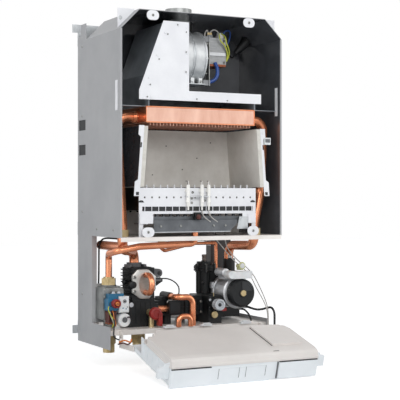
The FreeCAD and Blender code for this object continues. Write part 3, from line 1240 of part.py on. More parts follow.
def make_plate_heat_exchanger():
    """Brazed steel plates that warm the tap water, lying behind the crossover."""
    count = int(sheet.plate_edges)
    pitch = (s.plates_high - s.plates_low) / count
    body = block("plates", (-s.plates_left + 4, s.plates_right - 4),
                 (-s.plates_front + 4, -s.plates_back - 4),
                 (s.plates_low, s.plates_high))
    edges = [block("plate_edge", (-s.plates_left, s.plates_right), (-s.plates_front, -s.plates_back),
                   (s.plates_low + pitch * index + 1,
                    s.plates_low + pitch * (index + 1) - 1)) for index in range(count)]
    feet = [rod("plate_foot", "z", (x, -(s.plates_front + s.plates_back) / 2), s.neck_radius,
                (s.tray_rise + s.steel, s.plates_low))
            for x in (-s.plates_left + 20, s.plates_right - 20)]
    water = block("plate_channels", (-s.plates_left + 16, s.plates_right - 16),
                  (-s.plates_front + 12, -s.plates_back - 12),
                  (s.plates_low + 6, s.plates_high - 6))
    node("plate_heat_exchanger", cut("plate_pack", fuse("plate_solid", body, *edges, *feet), water))


def make_crossover_manifold():
    """The black passage from the diverter group to the return group, with its side socket."""
    x = (-s.block_foot_right, s.crossover_right)
    y = (-s.crossover_front, -s.crossover_back)
    low = s.crossover_low
    body = block("crossover_body", x, y, (low, s.crossover_high - 8))
    top = block("crossover_top", (x[0] + 16, x[1]), (y[0] + 4, y[1]),
                (s.crossover_high - 8, s.crossover_high))
    socket = block("crossover_socket", (-s.socket_left, -s.socket_right), (-s.socket_front, y[0]),
                   (s.socket_low, s.socket_high))
    middle = (y[0] + y[1]) / 2
    cable_post = rod("sensor_post", "z", (s.post_x, middle), s.gland_radius,
                     (s.crossover_high, s.crossover_high + s.post_height))
    leg = rod("crossover_leg", "z", (s.leg_x, middle), s.neck_radius, (s.tray_rise + s.steel, low))
    boss = rod("branch_boss", "y", (s.branch_left, s.branch_rise), s.branch_radius + 2,
               (-s.crossover_front - 3, y[1]))
    node("crossover_manifold", fuse("crossover", body, top, socket, cable_post, leg, boss))


def make_bypass_pipes():
    """The thin copper pipes: return bend, link, the two branches and the vessel's hairpin."""
    bend_x = s.cover_x + 6
    face = -s.block_front - s.cover_steel
    high = s.cover_rise + s.bend_drop / 2
    low = s.cover_rise - s.bend_drop / 2
    bend = pipe("return_bend", [(bend_x, -s.block_front, high), (bend_x, face - s.bend_reach, high),
                                (bend_x, face - s.bend_reach, low), (bend_x, -s.block_front, low)],
                s.bend_tube, s.bend_drop / 2 - 1)
    link = rod("link_pipe", "x", (s.link_y, s.link_rise), s.link_radius,
               (-s.block_foot_right, -s.socket_left))
    front = -s.crossover_front - 3
    branch = pipe("branch_pipe", [(s.branch_left, front, s.branch_rise),
                                  (s.branch_left, s.branch_y, s.branch_rise),
                                  (s.branch_right, s.branch_y, s.branch_rise),
                                  (s.branch_right, s.branch_y, s.tray_rise + s.steel)], s.branch_radius,
                  s.branch_bend)
    foot = s.tray_rise + s.steel
    low_branch = pipe("low_branch_pipe", [(s.low_branch_left, s.low_branch_y, foot),
                                          (s.low_branch_left, s.low_branch_y, s.low_branch_rise),
                                          (s.low_branch_right, s.low_branch_y, s.low_branch_rise),
                                          (s.low_branch_right, s.low_branch_y, foot)],
                      s.low_branch_radius, s.low_branch_bend)
    top = s.separator_top
    hairpin = pipe("vessel_hairpin", [
        (s.hairpin_x, s.vessel_pipe_y, s.housing_high), (s.hairpin_x, s.vessel_pipe_y, s.vessel_pipe_rise),
        (s.hairpin_x - s.hairpin_span, s.vessel_pipe_y, s.vessel_pipe_rise),
        (s.hairpin_turn, s.vessel_pipe_y, s.vessel_pipe_rise - s.hairpin_depth),
        (s.hairpin_turn - s.hairpin_lift / 2, s.vessel_pipe_y + s.hairpin_depth,
         s.vessel_pipe_rise - s.hairpin_lift),
        (s.hairpin_x - s.hairpin_span, s.vessel_pipe_y + s.hairpin_depth, s.vessel_pipe_rise),
        (s.hairpin_x - s.hairpin_end, -s.vessel_feed_y, s.vessel_pipe_rise + s.hairpin_lift),
        (s.hairpin_x - s.hairpin_end, -s.vessel_feed_y, s.middle_rail_top - s.rail_steel)],
        s.vessel_pipe, s.hairpin_bend)
    node("bypass_pipes", group("copper_branches", bend, link, branch, low_branch, hairpin))


def make_filling_tap_knob():
    """The red quarter turn tap: a disc with a lever that hangs down beside its middle."""
    centre = (s.tap_x, s.tap_rise)
    span = (-s.tap_front, -s.tap_front + s.tap_disc)
    disc = rod("tap_disc", "y", centre, s.tap_radius, span)
    lever = block("tap_lever", (s.tap_x + s.lever_offset - s.lever_width / 2,
                                s.tap_x + s.lever_offset + s.lever_width / 2),
                  (span[0] - 2, span[1] - 3), (s.tap_rise - s.lever_drop, s.tap_rise + 4))
    stem = rod("tap_spindle", "y", centre, s.tap_stem / 2, (span[1], -s.tap_back - 4 - s.fit_gap))
    node("filling_tap_knob", fuse("tap_knob", disc, lever, stem))


# Pump and return group on the right

def pump_line(name, radius, span):
    return rod(name, "y", (s.pump_x, s.pump_rise), radius, span)


def make_pump_housing():
    """The black moulded return group: pump volute, air separator, return socket and safety valve block."""
    y = (-s.motor_back, -s.pump_back)
    foot = s.tray_rise + s.steel
    volute = block("pump_volute", (s.pump_x - s.housing_half, s.pump_x + s.housing_half), y,
                   (s.housing_low, s.housing_high))
    leg = rod("pump_leg", "z", (s.return_out_x, s.return_out_y), s.neck_radius, (foot, s.housing_low))
    centre = (s.separator_x, s.separator_y)
    separator = rod("separator", "z", centre, s.separator_radius, (s.separator_low, s.flange_low))
    flange = rod("separator_flange", "z", centre, s.separator_flange, (s.flange_low, s.flange_high))
    head = rod("separator_head", "z", centre, s.separator_radius, (s.flange_high, s.separator_top))
    cap = rod("separator_cap", "z", centre, s.separator_cap, (s.separator_top, s.separator_cap_top))
    socket = rod("return_socket", "z", (s.return_in_x, s.return_in_y), s.inlet_radius,
                 (s.housing_high, s.return_socket))
    front = block("valve_block_front", (s.front_block_left, s.front_block_right),
                  (-s.front_block_front, -s.motor_back),
                  (foot, s.front_block_high))
    behind = block("valve_block_back", (s.crossover_right, s.pump_x - s.housing_half),
                   (-s.motor_back, -s.crossover_back + 30),
                   (foot, s.separator_low))
    body = rod("safety_body", "y", (s.valve_x, s.valve_rise), s.safety_body,
               (-s.safety_body_front, -s.front_block_front))
    impeller_room = pump_line("impeller_room", s.impeller_radius + s.rotor_gap,
                              (-s.motor_back - 1, -s.motor_back + s.impeller_depth + s.rotor_gap))
    knob_bore = rod("safety_bore", "y", (s.valve_x, s.valve_rise), s.shaft_radius + s.shaft_gap,
                    (-s.safety_body_front - 1, -s.front_block_front + 8))
    socket_bore = rod("return_socket_bore", "z", (s.return_in_x, s.return_in_y), s.main_pipe - s.pipe_wall,
                      (s.housing_high - 10, s.return_socket + 1))
    solid = fuse("return_group_solid", volute, leg, separator, flange, head, cap, socket, front, behind,
                 body)
    node("pump_housing", cut("return_group", solid, impeller_room, knob_bore, socket_bore))


def make_pump_motor():
    """The pump's bright motor can, hollow for its rotor, with the terminal boss on its upper left."""
    face = -s.pump_front + s.cap_depth
    can = pump_line("motor_can", s.motor_radius, (face + s.ring_depth, -s.motor_back))
    ring = pump_line("motor_ring", s.ring_radius, (face, face + s.ring_depth))
    room = pump_line("rotor_room", s.rotor_radius + s.rotor_gap, (face + s.ring_depth, -s.motor_back + 1))
    nose = pump_line("shaft_bearing", s.shaft_radius + s.shaft_gap, (face - 1, face + s.ring_depth + 1))
    boss = rod("terminal_boss", "y", (s.boss_x, s.boss_rise), s.boss_radius, (-s.boss_front, -s.boss_back))
    neck = block("terminal_neck", (s.boss_x, s.pump_x - 8), (-s.boss_front + 4, -s.boss_back),
                 (s.boss_rise - s.boss_radius - 6, s.boss_rise))
    gland = rod("motor_gland", "y", PUMP_CABLE[0][::2], s.gland_radius - 1,
                (face + 2, face + s.ring_depth + 8))
    short_gland = rod("motor_gland_low", "y", SHORT_PUMP_CABLE[0][::2], s.gland_radius - 2,
                      (face + 2, face + s.ring_depth + 8))
    solid = fuse("pump_motor_solid", can, ring, boss, neck, gland, short_gland)
    node("pump_motor", cut("pump_can", solid, room, nose))


def make_pump_cap():
    """The black cap on the pump's front, with a bore for the vent screw."""
    front = -s.pump_front
    profile = [(s.vent_radius + s.shaft_gap, 0), (s.cap_radius - 4, 0), (s.cap_radius, 4),
               (s.cap_radius, s.cap_depth),
               (s.vent_radius + s.shaft_gap, s.cap_depth)]
    node("pump_cap", turned("pump_cap_body", "y", (s.pump_x, s.pump_rise), front, profile))


def make_pump_vent_screw():
    """The brass screw in the cap's middle, slotted for a blade. It lets air out and frees the shaft."""
    front = -s.pump_front - s.vent_proud
    body = pump_line("vent_body", s.vent_radius, (front, -s.pump_front + s.vent_bore_depth))
    slot = block("vent_slot", (s.pump_x - s.vent_radius - 1, s.pump_x + s.vent_radius + 1),
                 (front - 1, front + s.volute_wall),
                 (s.pump_rise - s.steel, s.pump_rise + s.steel))
    node("pump_vent_screw", cut("vent_screw", body, slot))


def make_pump_rotor():
    face = -s.pump_front + s.cap_depth
    core = pump_line("rotor_core", s.rotor_radius,
                     (face + s.ring_depth + s.rotor_gap, -s.motor_back - s.rotor_gap))
    shaft = pump_line("rotor_shaft", s.shaft_radius, (face, -s.motor_back))
    front = -s.motor_back + s.rotor_gap
    back = -s.motor_back + s.impeller_depth
    discs = [pump_line("impeller_disc", s.impeller_radius,
                       span) for span in ((front, front + s.wheel_disc), (back - s.wheel_disc, back))]
    hub = pump_line("impeller_hub", s.shaft_radius * 2, (-s.motor_back - s.rotor_gap, back))
    vanes = []
    for angle in range(0, 180, 45):
        vane = doc.addObject("Part::Box", "impeller_vane")
        bind(vane, "Length", s.impeller_radius * 2 - 2)
        bind(vane, "Width", s.impeller_depth - s.rotor_gap)
        bind(vane, "Height", s.wheel_disc)
        turn = FreeCAD.Rotation(FreeCAD.Vector(0, 1, 0), angle)
        vane.Placement = FreeCAD.Placement(FreeCAD.Vector(), turn)
        reach = s.impeller_radius - 1
        move(vane, s.pump_x - reach * math.cos(math.radians(angle)), front,
             up(s.pump_rise + reach * math.sin(math.radians(angle))))
        vanes.append(vane)
    node("pump_rotor", fuse("rotor", core, shaft, hub, *discs, *vanes))


def make_pump_terminal_box():
    """The pale box on top of the pump's motor where its cable lands."""
    foot = s.pump_rise + s.cap_radius + 1
    saddle_foot = s.pump_rise + s.motor_radius
    end_x = s.box_left + s.box_height / 2
    body = block("terminal_box", (end_x, s.box_right), (-s.box_front, -s.box_back),
                 (foot, foot + s.box_height - 2))
    end = rod("terminal_end", "y", (end_x, foot + s.box_height / 2), s.box_height / 2,
              (-s.box_front, -s.box_back))
    saddle = block("terminal_saddle", (s.pump_x - 6, s.pump_x + 12), (-s.box_back, -s.box_back + 24),
                   (saddle_foot, saddle_foot + s.box_height / 2))
    tie = block("terminal_tie", (s.pump_x - 6, s.pump_x + 12), (-s.box_back - 4, -s.box_back),
                (saddle_foot - 2, saddle_foot + s.box_height / 2))
    upper = fuse("terminal_upper", saddle, tie)
    front_part = cut("terminal_front", fuse("terminal_front_solid", body, end),
                     rod("can_clearance", "y", (s.pump_x, s.pump_rise), s.motor_radius,
                     (-s.pump_front + s.cap_depth - 1, -s.motor_back)))
    node("pump_terminal_box", fuse("terminal_box_solid", front_part, upper))


def make_safety_valve_knob():
    """The safety valve's clear knob with its red tab, on a stem that turns in the valve's body."""
    centre = (s.valve_x, s.valve_rise)
    span = (-s.safety_front, -s.safety_body_front - s.fit_gap)
    knob = rod("safety_knob", "y", centre, s.safety_radius, span)
    dish = rod("safety_dish", "y", centre, s.safety_radius * 0.6, (span[0] - 1, span[0] + 3))
    tab = block("safety_tab", (s.valve_x + s.safety_radius - 6, s.valve_x + s.safety_radius + 3),
                (span[0] + 4, span[1] - 4),
                (s.valve_rise - s.red_tab - 6, s.valve_rise))
    stem = rod("safety_stem", "y", centre, s.shaft_radius, (span[1] - 1, -s.front_block_front + 6))
    node("safety_valve_knob", fuse("safety_knob_solid",
                                   cut("safety_cap", fuse("safety_disc", knob, tab), dish), stem))


def make_expansion_vessel():
    """The flat steel vessel that stands on the middle rail behind the chamber."""
    left = -s.vessel_width / 2
    low = s.middle_rail_top
    corner = s.vessel_corner
    back = -s.vessel_back
    front = back - s.vessel_thickness
    middle = (front + back) / 2

    high = low + s.vessel_height

    def shell(name, inset, y0, y1):
        x0, x1, b0, b1 = left + inset, -left - inset, low + inset, high - inset
        outline = [(x0 + corner, b0), (x1 - corner, b0), (x1, b0 + corner), (x1, b1 - corner),
                   (x1 - corner, b1), (x0 + corner, b1), (x0, b1 - corner), (x0, b0 + corner)]
        return plate(name, "front", outline, y0, y1 - y0)

    halves = shell("vessel_halves", s.rim_reach, front, back)
    rim = shell("vessel_rim", 0, middle - s.rim_thickness / 2, middle + s.rim_thickness / 2)
    hollow = shell("vessel_hollow", s.rim_reach + s.steel, front + s.steel, back - s.steel)
    node("expansion_vessel", cut("vessel", fuse("vessel_solid", halves, rim), hollow))


# Under the casing

def service_lines():
    """The five connections from left to right: place, thread radius and the height where each starts."""
    foot = s.tray_rise
    return [("gas", s.gas_x, s.gas_y, s.thread_three_quarter, foot),
            ("flow", s.flow_out_x, s.flow_out_y, s.thread_three_quarter, foot),
            ("hot", s.hot_x, s.hot_y, s.thread_half, foot),
            ("cold", s.branch_right, s.branch_y, s.thread_half, foot),
            ("return", s.return_out_x, s.return_out_y, s.thread_three_quarter, foot)]


def make_connection_tray():
    """The galvanised tray that carries the water groups, with the arms of the electronics box's hinge."""
    x = (-inner_half, inner_half)
    deck = block("tray_sheet", x, (-s.tray_front, wall_face), (s.tray_rise, s.tray_rise + s.steel))
    lip = block("tray_lip", x, (-s.tray_front, -s.tray_front + s.steel),
                (s.tray_rise - s.tray_lip, s.tray_rise))
    tabs = [block("tray_tab", (middle - s.tab_width / 2, middle + s.tab_width / 2),
                  (-s.tray_front - s.tab_reach, -s.tray_front + s.steel),
                  (s.tray_rise + s.steel, s.tray_rise + s.steel + s.tab_steel))
            for middle in (s.tab_left, s.tab_middle, s.tab_right)]
    holes = [rod("tray_hole", "z", (px, py), radius - s.pipe_wall - 3,
                 (s.tray_rise - 1, s.tray_rise + s.steel + 1))
             for name, px, py, radius, top in service_lines()]
    half = s.upright_width / 2 + s.fit_gap
    notch = block("upright_notch", (s.upright_centre - half, s.upright_centre + half),
                  (-s.upright_depth - s.fit_gap, wall_face + 1),
                  (s.tray_rise - 1, s.tray_rise + s.steel + 1))
    cable_gland = rod("cable_gland", "z", SHORT_PUMP_CABLE[-1][:2], s.gland_radius - 1,
                      (s.tray_rise, s.tray_rise + s.steel + s.post_height))
    loom_gland = rod("tray_loom_gland", "z", LEFT_LOOM[-1][:2], s.gland_radius,
                     (s.tray_rise, s.tray_rise + s.steel + s.gland_height))
    arms = []
    for side in (-1, 1):
        inner = s.box_x + side * (s.box_width / 2 + s.arm_gap)
        outer = inner + side * s.hinge_arm
        pin_end = inner - side * s.knuckle_length
        x_span = (outer, inner) if side < 0 else (inner, outer)
        pin_span = (inner, pin_end) if side < 0 else (pin_end, inner)
        arms.append(block("hinge_arm", x_span, (s.hinge_y - s.knuckle_radius, -s.tray_front + s.steel),
                          (s.hinge_rise - s.knuckle_radius, s.hinge_rise + s.knuckle_radius)))
        arms.append(block("arm_web", x_span, (-s.tray_front - s.knuckle_length, -s.tray_front + s.steel),
                          (s.hinge_rise - s.knuckle_radius, s.tray_rise)))
        arms.append(rod("hinge_pin", "x", (s.hinge_y, s.hinge_rise), s.hinge_pin, pin_span))
    clamp_y = (-s.clamp_front, -s.clamp_back)
    post_left = s.box_x + s.box_width / 2 + s.arm_gap
    arms.append(block("clamp_post", (post_left, post_left + s.hinge_arm), clamp_y,
                      (s.hinge_rise, s.clamp_high)))
    arms.append(block("cable_clamp", (post_left, s.clamp_right), clamp_y, (s.clamp_low, s.clamp_high)))
    web_gland = rod("web_gland", "x", VALVE_CABLE[-1][1:], s.gland_radius / 2,
                    (s.box_x - s.box_width / 2 - s.arm_gap - s.hinge_arm - s.post_height,
                    s.box_x - s.box_width / 2 - s.arm_gap - s.hinge_arm))
    solid = fuse("tray_solid", deck, lip, cable_gland, loom_gland, web_gland, *tabs, *arms)
    node("connection_tray", cut("tray", solid, notch, *holes))


def make_service_pipes():
    pieces = []
    for name, x, y, radius, top in service_lines():
        outer = rod(name + "_thread", "z", (x, y), radius, (s.thread_foot, s.thread_foot + s.thread_length))
        body = hexagon(name + "_nipple", "z", (x, y), 2 * radius + 4,
                       (s.thread_foot + s.thread_length, top))
        bore = rod(name + "_bore", "z", (x, y), radius - s.pipe_wall - 3, (s.thread_foot - 1, top + 1))
        pieces.append(cut(name + "_tail", fuse(name + "_tail_solid", outer, body), bore))
    node("service_pipes", group("service_tails", *pieces))


# Electronics box: its pieces are drawn level, from the hinge line, and turned down with the box

def boxed(name, x, reach, rise):
    """A block in the box's own frame: across, forward of the hinge line and above it."""
    thing = doc.addObject("Part::Box", name)
    bind(thing, "Length", x[1] - x[0])
    bind(thing, "Width", reach[1] - reach[0])
    bind(thing, "Height", rise[1] - rise[0])
    return move(thing, x[0], -reach[1], rise[0])


def boxed_rod(name, x, reach, radius, span):
    thing = doc.addObject("Part::Cylinder", name)
    bind(thing, "Radius", radius)
    bind(thing, "Height", span[1] - span[0])
    return move(thing, x, -reach, span[0])


def box_node(label, thing):
    """Puts a piece of the box at the hinge line and turns it down with the box."""
    thing.Placement = FreeCAD.Placement(FreeCAD.Vector(), FreeCAD.Rotation(FreeCAD.Vector(1, 0, 0), 1))
    move(thing, 0, s.hinge_y, up(s.hinge_rise))
    bind(thing, "Placement.Rotation.Angle", s.box_tilt)
    node(label, thing)


box_left = s.box_x - s.box_width / 2
box_right = s.box_x + s.box_width / 2


def knob_places():
    return [s.box_x - s.knob_pitch, s.box_x]


def boxed_plate(name, outline, rise):
    """A plate in the box's own frame, drawn from above."""
    return move(plate(name, "flat", outline, rise[0], rise[1] - rise[0]), 0, 0, rise[0])


def boxed_strip(name, outline, x):
    """A strip across the box in its own frame, drawn from its side."""
    return move(plate(name, "side", outline, x[0], x[1] - x[0]), x[0], 0, 0)


def make_control_box_panel():
    """The moulded tub whose floor is the boiler's operating panel once the box is swung up."""
    reach = (-s.box_behind, s.box_reach)
    rise = (-s.box_under, -s.box_under + s.tub_height)
    outer = boxed("tub_outside", (box_left, box_right), reach, rise)
    rounded = doc.addObject("Part::Fillet", "tub_rounded")
    rounded.Base = outer
    rounded.Edges = [(index, s.rim_radius.number / 2, s.rim_radius.number / 2) for index in (2, 4, 6, 8)]
    inner = boxed("tub_inside", (box_left + s.box_wall, box_right - s.box_wall),
                  (s.tub_back + s.box_wall, reach[1] - s.box_wall), (rise[0] + s.box_wall, rise[1] + 1))
    behind = boxed("tub_behind", (box_left + s.knuckle_length + s.box_wall,
                                  box_right - s.knuckle_length - s.box_wall),
                   (reach[0] + s.box_wall, s.tub_back - s.box_wall), (rise[0] + s.box_wall, rise[1] + 1))
    slant = [(-reach[0] + 1, s.knuckle_radius), (-s.tub_back, s.knuckle_radius),
             (-s.tub_back + s.tub_lean, rise[1] + 1), (-reach[0] + 1, rise[1] + 1)]
    cuts = [inner, behind, boxed_strip("tub_shoulders", slant, (box_left - 1, box_right + 1))]
    for end in (box_left - 1, box_right - s.knuckle_length - s.fit_gap):
        pin_room = doc.addObject("Part::Cylinder", "hinge_bore")
        bind(pin_room, "Radius", s.hinge_pin + s.shaft_gap)
        bind(pin_room, "Height", s.knuckle_length + s.fit_gap + 1)
        pin_room.Placement = FreeCAD.Placement(FreeCAD.Vector(), TURNS["x"])
        cuts.append(move(pin_room, end, 0, 0))
    for x in knob_places():
        cuts.append(boxed_rod("knob_bore", x, s.knob_reach, s.knob_stem + s.shaft_gap,
                              (rise[0] - 1, rise[0] + s.box_wall + 1)))
    button_x = s.box_x + s.knob_pitch
    cuts.append(boxed_rod("button_bore", button_x, s.knob_reach, s.button_radius + s.fit_gap,
                          (rise[0] - 1, rise[0] + s.box_wall + 1)))
    gauge = boxed_rod("gauge", s.box_x - s.knob_pitch * 1.6, s.knob_reach, s.gauge_radius,
                      (rise[0] - s.gauge_proud, rise[0]))
    ears = [boxed("latch_ear", x, (s.ear_start, s.ear_start + s.ear_thickness), (s.ear_low, s.ear_high))
            for x in ((box_left - s.latch_reach, box_left), (box_right, box_right + s.latch_reach))]
    box_node("control_box_panel", fuse("panel_and_gauge", cut("tub", rounded, *cuts), gauge, *ears))


def make_control_box_lid():
    """The lid over the electronics: rounded in front, stepped behind, with a cover over the terminals."""
    low = -s.box_under + s.tub_height
    top = s.box_top
    left, right = box_left, box_right
    deck = boxed("lid_deck", (left, right), (s.tub_back - s.tub_lean, s.box_reach), (low, low + s.lid_wall))
    front = [(-s.lid_middle, low), (-s.box_reach, low), (-s.box_reach, low + s.lid_edge),
             (-s.box_reach + s.lid_round, top - s.lid_edge),
             (-s.box_reach + s.lid_shoulder, top - s.lid_round / 2), (-s.lid_end, top),
             (-s.lid_middle, top)]
    rim = boxed_strip("lid_front", front, (left, right))
    steps = [(left, -s.lid_middle), (left, -s.step_one), (left + s.corner_one, -s.step_one),
             (left + s.corner_one + s.corner_slope, -s.step_two),
             (left + s.corner_two, -s.step_two + s.corner_rise),
             (left + s.corner_two + s.corner_slope, -s.step_three), (left + s.corner_three, -s.lid_start),
             (right - s.right_corner, -s.lid_start - s.corner_rise),
             (right - s.right_slope, -s.step_two + s.corner_rise),
             (right, -s.step_one), (right, -s.lid_middle)]
    back = boxed_plate("lid_back", steps, (low, top))
    hollow = boxed("lid_hollow", (left + s.lid_inset, right - s.lid_inset),
                   (s.lid_middle, s.lid_end - s.lid_wall), (low - 1, top - s.lid_wall))
    back_hollow = boxed("lid_back_hollow", (left + s.cover_inset, right - 2 * s.lid_inset),
                        (s.step_two, s.lid_middle + 1), (low - 1, top - s.lid_wall))
    cover = boxed("terminal_cover", (s.cover_left, s.cover_right), (s.cover_start, s.cover_end),
                  (top, top + s.cover_proud))
    box_node("control_box_lid", cut("lid", fuse("lid_solid", deck, rim, back, cover), hollow, back_hollow))


def make_circuit_board():
    low = -s.box_under + s.box_wall
    x = (box_left + s.board_inset, box_right - s.board_inset)
    reach = (s.tub_back + 2 * s.box_wall, s.box_reach - s.board_inset)
    deck = low + s.board_rise
    board = boxed("board", x, reach, (deck, deck + s.board_thickness))
    posts = [boxed_rod("board_post", px, py, s.board_post, (low, deck))
             for px in (x[0] + s.post_inset, x[1] - s.post_inset)
             for py in (reach[0] + s.post_inset, reach[1] - s.post_inset)]
    top = deck + s.board_thickness
    first = x[0] + s.part_inset
    back = reach[0] + s.part_inset
    parts = [boxed("transformer", (first, first + s.transformer), (back, back + s.transformer),
                   (top, top + s.transformer * 0.6))]
    for index in range(4):
        start = x[0] + s.relay_start + index * (s.relay + s.relay_space)
        parts.append(boxed("relay", (start, start + s.relay), (back, back + s.relay),
                           (top, top + s.relay)))
    parts.append(boxed("terminal_row", (x[1] - s.row_start, x[1] - s.row_end),
                       (reach[0] + s.part_inset / 2, reach[0] + s.row_depth), (top, top + s.relay)))
    pots = [boxed_rod("knob_socket", px, s.knob_reach, s.knob_stem + s.board_post,
                      (top, top + s.relay)) for px in knob_places()]
    solid = fuse("board_and_parts", board, *posts, *parts, *pots)
    holes = [boxed_rod("stem_hole", px, s.knob_reach, s.knob_stem + s.shaft_gap,
                       (deck - 1, top + s.relay - s.lid_wall)) for px in knob_places()]
    button = boxed_rod("button_hole", s.box_x + s.knob_pitch, s.knob_reach, s.button_radius,
                       (deck - 1, top + 1))
    box_node("circuit_board", cut("board_drilled", solid, *holes, button))


def make_knob(label, x):
    face = -s.box_under
    grip = boxed_rod(label + "_grip", x, s.knob_reach, s.knob_radius,
                     (face - s.knob_depth, face - s.fit_gap))
    mark = boxed(label + "_mark", (x - 1, x + 1), (s.knob_reach, s.knob_reach + s.knob_radius - 2),
                 (face - s.knob_depth - 1, face - s.knob_depth))
    stem = boxed_rod(label + "_stem", x, s.knob_reach, s.knob_stem,
                     (face - 1, face + s.box_wall + s.board_rise + s.board_thickness + s.relay / 2))
    box_node(label, fuse(label + "_solid", grip, mark, stem))


def make_control_knobs():
    """Two knobs on the panel, one for the heating and one for the hot water."""
    for label, x in zip(("heating_knob", "hot_water_knob"), knob_places()):
        make_knob(label, x)


def make_reset_button():
    face = -s.box_under
    x = s.box_x + s.knob_pitch
    cap = boxed_rod("button_cap", x, s.knob_reach, s.button_radius,
                    (face - s.button_depth, face + s.box_wall + 1))
    collar = boxed_rod("button_collar", x, s.knob_reach, s.button_radius + 2,
                       (face + s.box_wall + s.fit_gap, face + s.box_wall + 1 + s.fit_gap))
    box_node("reset_button", fuse("button", cap, collar))


# Cords

def make_cords():
    """Each cord ends in a gland; all of them stay with the frame, so the box swings without them."""
    node("pump_cable", cord("pump_cable_run", PUMP_CABLE, s.pump_cord))
    node("pump_cable_two", cord("short_pump_cable_run", SHORT_PUMP_CABLE, s.short_cord))
    node("ignition_lead_one", cord("first_lead_run", FIRST_LEAD, s.lead_cord))
    node("ignition_lead_two", cord("second_lead_run", SECOND_LEAD, s.lead_cord))
    node("left_loom", cord("left_loom_run", LEFT_LOOM, s.loom_cord))
    node("diverter_cable", cord("diverter_cable_run", DIVERTER_CABLE, s.thin_cord))
    node("valve_cable", cord("valve_cable_run", VALVE_CABLE, s.thin_cord))


MAKERS = [
    make_side_channels, make_lower_side_panels, make_wall_frame, make_chamber_sides, make_chamber_top,
    make_chamber_back, make_chamber_floor, make_floor_grommets, make_cover_lugs, make_flue_spigot,
    make_smoke_hood, make_hood_front_plate, make_fan_volute, make_fan_motor, make_fan_wheel,
    make_exchanger_case, make_exchanger_core, make_flow_pipe, make_return_pipe, make_combustion_chamber,
    make_ceramic_liner, make_burner_front_bar, make_burner_blades, make_gas_manifold, make_electrodes,
    make_gas_pipe, make_gas_valve_body, make_gas_valve_coils, make_brass_fittings, make_diverter_block,
    make_diverter_cover, make_diverter_actuator, make_diverter_spindle, make_plate_heat_exchanger,
    make_crossover_manifold, make_bypass_pipes, make_filling_tap_knob, make_pump_housing,
    make_pump_motor, make_pump_cap, make_pump_vent_screw, make_pump_rotor, make_pump_terminal_box,
    make_safety_valve_knob, make_expansion_vessel, make_connection_tray, make_service_pipes,
    make_control_box_panel, make_control_box_lid, make_circuit_board, make_control_knobs,
    make_reset_button, make_cords,
]


def check_model():
    """Stops before anything is written if an object failed or a sub-part's shape is not sound."""
    for thing in doc.Objects:
        if "Invalid" in thing.State or "Error" in thing.State:
            raise RuntimeError("failed object: " + thing.Name + " " + str(thing.State))
    for thing in nodes:
        if thing.Shape.isNull() or not thing.Shape.isValid() or thing.Shape.Volume < 1:
            raise RuntimeError("unsound shape: " + thing.Label)


def write_parts():
    os.makedirs("parts", exist_ok=True)
    for thing in nodes:
        thing.Shape.exportStep("parts/%s.step" % thing.Label)
        print("%-24s %3d solids %10.0f mm3" % (thing.Label, len(thing.Shape.Solids), thing.Shape.Volume))


for maker in MAKERS:
    maker()
doc.recompute()
check_model()
write_parts()
print("%d sub-parts" % len(nodes))
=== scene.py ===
# %% [markdown]
# # A gas boiler with its covers off
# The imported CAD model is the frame: its nodes are already in place and already move.
# This script gives each of them a finish and builds the details that sheet metal, castings and wires show
# close up. Lengths below are in millimetres, and heights are counted from the underside of the casing, as a
# fitter would measure them.

# %% Load the frame
import math
import bmesh
import bpy
from mathutils import Matrix, Vector


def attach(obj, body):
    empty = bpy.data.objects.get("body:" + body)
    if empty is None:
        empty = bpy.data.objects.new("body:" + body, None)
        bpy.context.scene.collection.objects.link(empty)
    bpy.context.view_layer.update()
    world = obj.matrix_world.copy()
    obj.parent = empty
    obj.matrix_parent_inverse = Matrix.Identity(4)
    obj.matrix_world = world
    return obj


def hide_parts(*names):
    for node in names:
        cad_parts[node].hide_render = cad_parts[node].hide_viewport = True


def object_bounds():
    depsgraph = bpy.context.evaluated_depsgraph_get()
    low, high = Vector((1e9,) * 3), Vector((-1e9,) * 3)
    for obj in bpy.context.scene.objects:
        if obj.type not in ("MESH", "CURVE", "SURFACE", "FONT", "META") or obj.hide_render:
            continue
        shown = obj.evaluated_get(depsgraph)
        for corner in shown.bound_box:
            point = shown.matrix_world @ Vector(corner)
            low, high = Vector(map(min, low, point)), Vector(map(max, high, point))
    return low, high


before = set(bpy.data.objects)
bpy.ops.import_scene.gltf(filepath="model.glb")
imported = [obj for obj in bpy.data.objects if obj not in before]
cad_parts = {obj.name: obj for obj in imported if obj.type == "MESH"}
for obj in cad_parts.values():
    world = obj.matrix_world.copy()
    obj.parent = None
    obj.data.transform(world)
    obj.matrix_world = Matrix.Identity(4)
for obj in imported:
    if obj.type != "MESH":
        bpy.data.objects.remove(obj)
cad_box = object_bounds()
ORIGIN_RISE = 700
FRONT, BACK, LEFT = (0, -1, 0), (0, 1, 0), (-1, 0, 0)
RIGHT, UP, DOWN = (1, 0, 0), (0, 0, 1), (0, 0, -1)


def at(x, y, rise):
    """A place in the row frame, in metres, from millimetres and a height above the casing's underside."""
    return Vector((x, y, rise - ORIGIN_RISE)) / 1000


def placed(name, data):
    """A new object in the scene."""
    thing = bpy.data.objects.new(name, data)
    bpy.context.scene.collection.objects.link(thing)
    return thing


def around(x, rise, radius, angles):
    """Pairs of x and height on a circle, at angles in degrees. On a level circle they are x and y."""
    turns = [math.radians(angle) for angle in angles]
    return [(x + radius * math.cos(turn), rise + radius * math.sin(turn)) for turn in turns]


print("nodes:", len(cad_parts), "CAD box:", cad_box)

# %% [markdown]
# ## Camera and light
# The photograph was taken with a long lens from the front left, at the height of the burner.
# The lens and the place come from the casing's corners: 400 mm wide, 738 mm high and 255 mm deep.

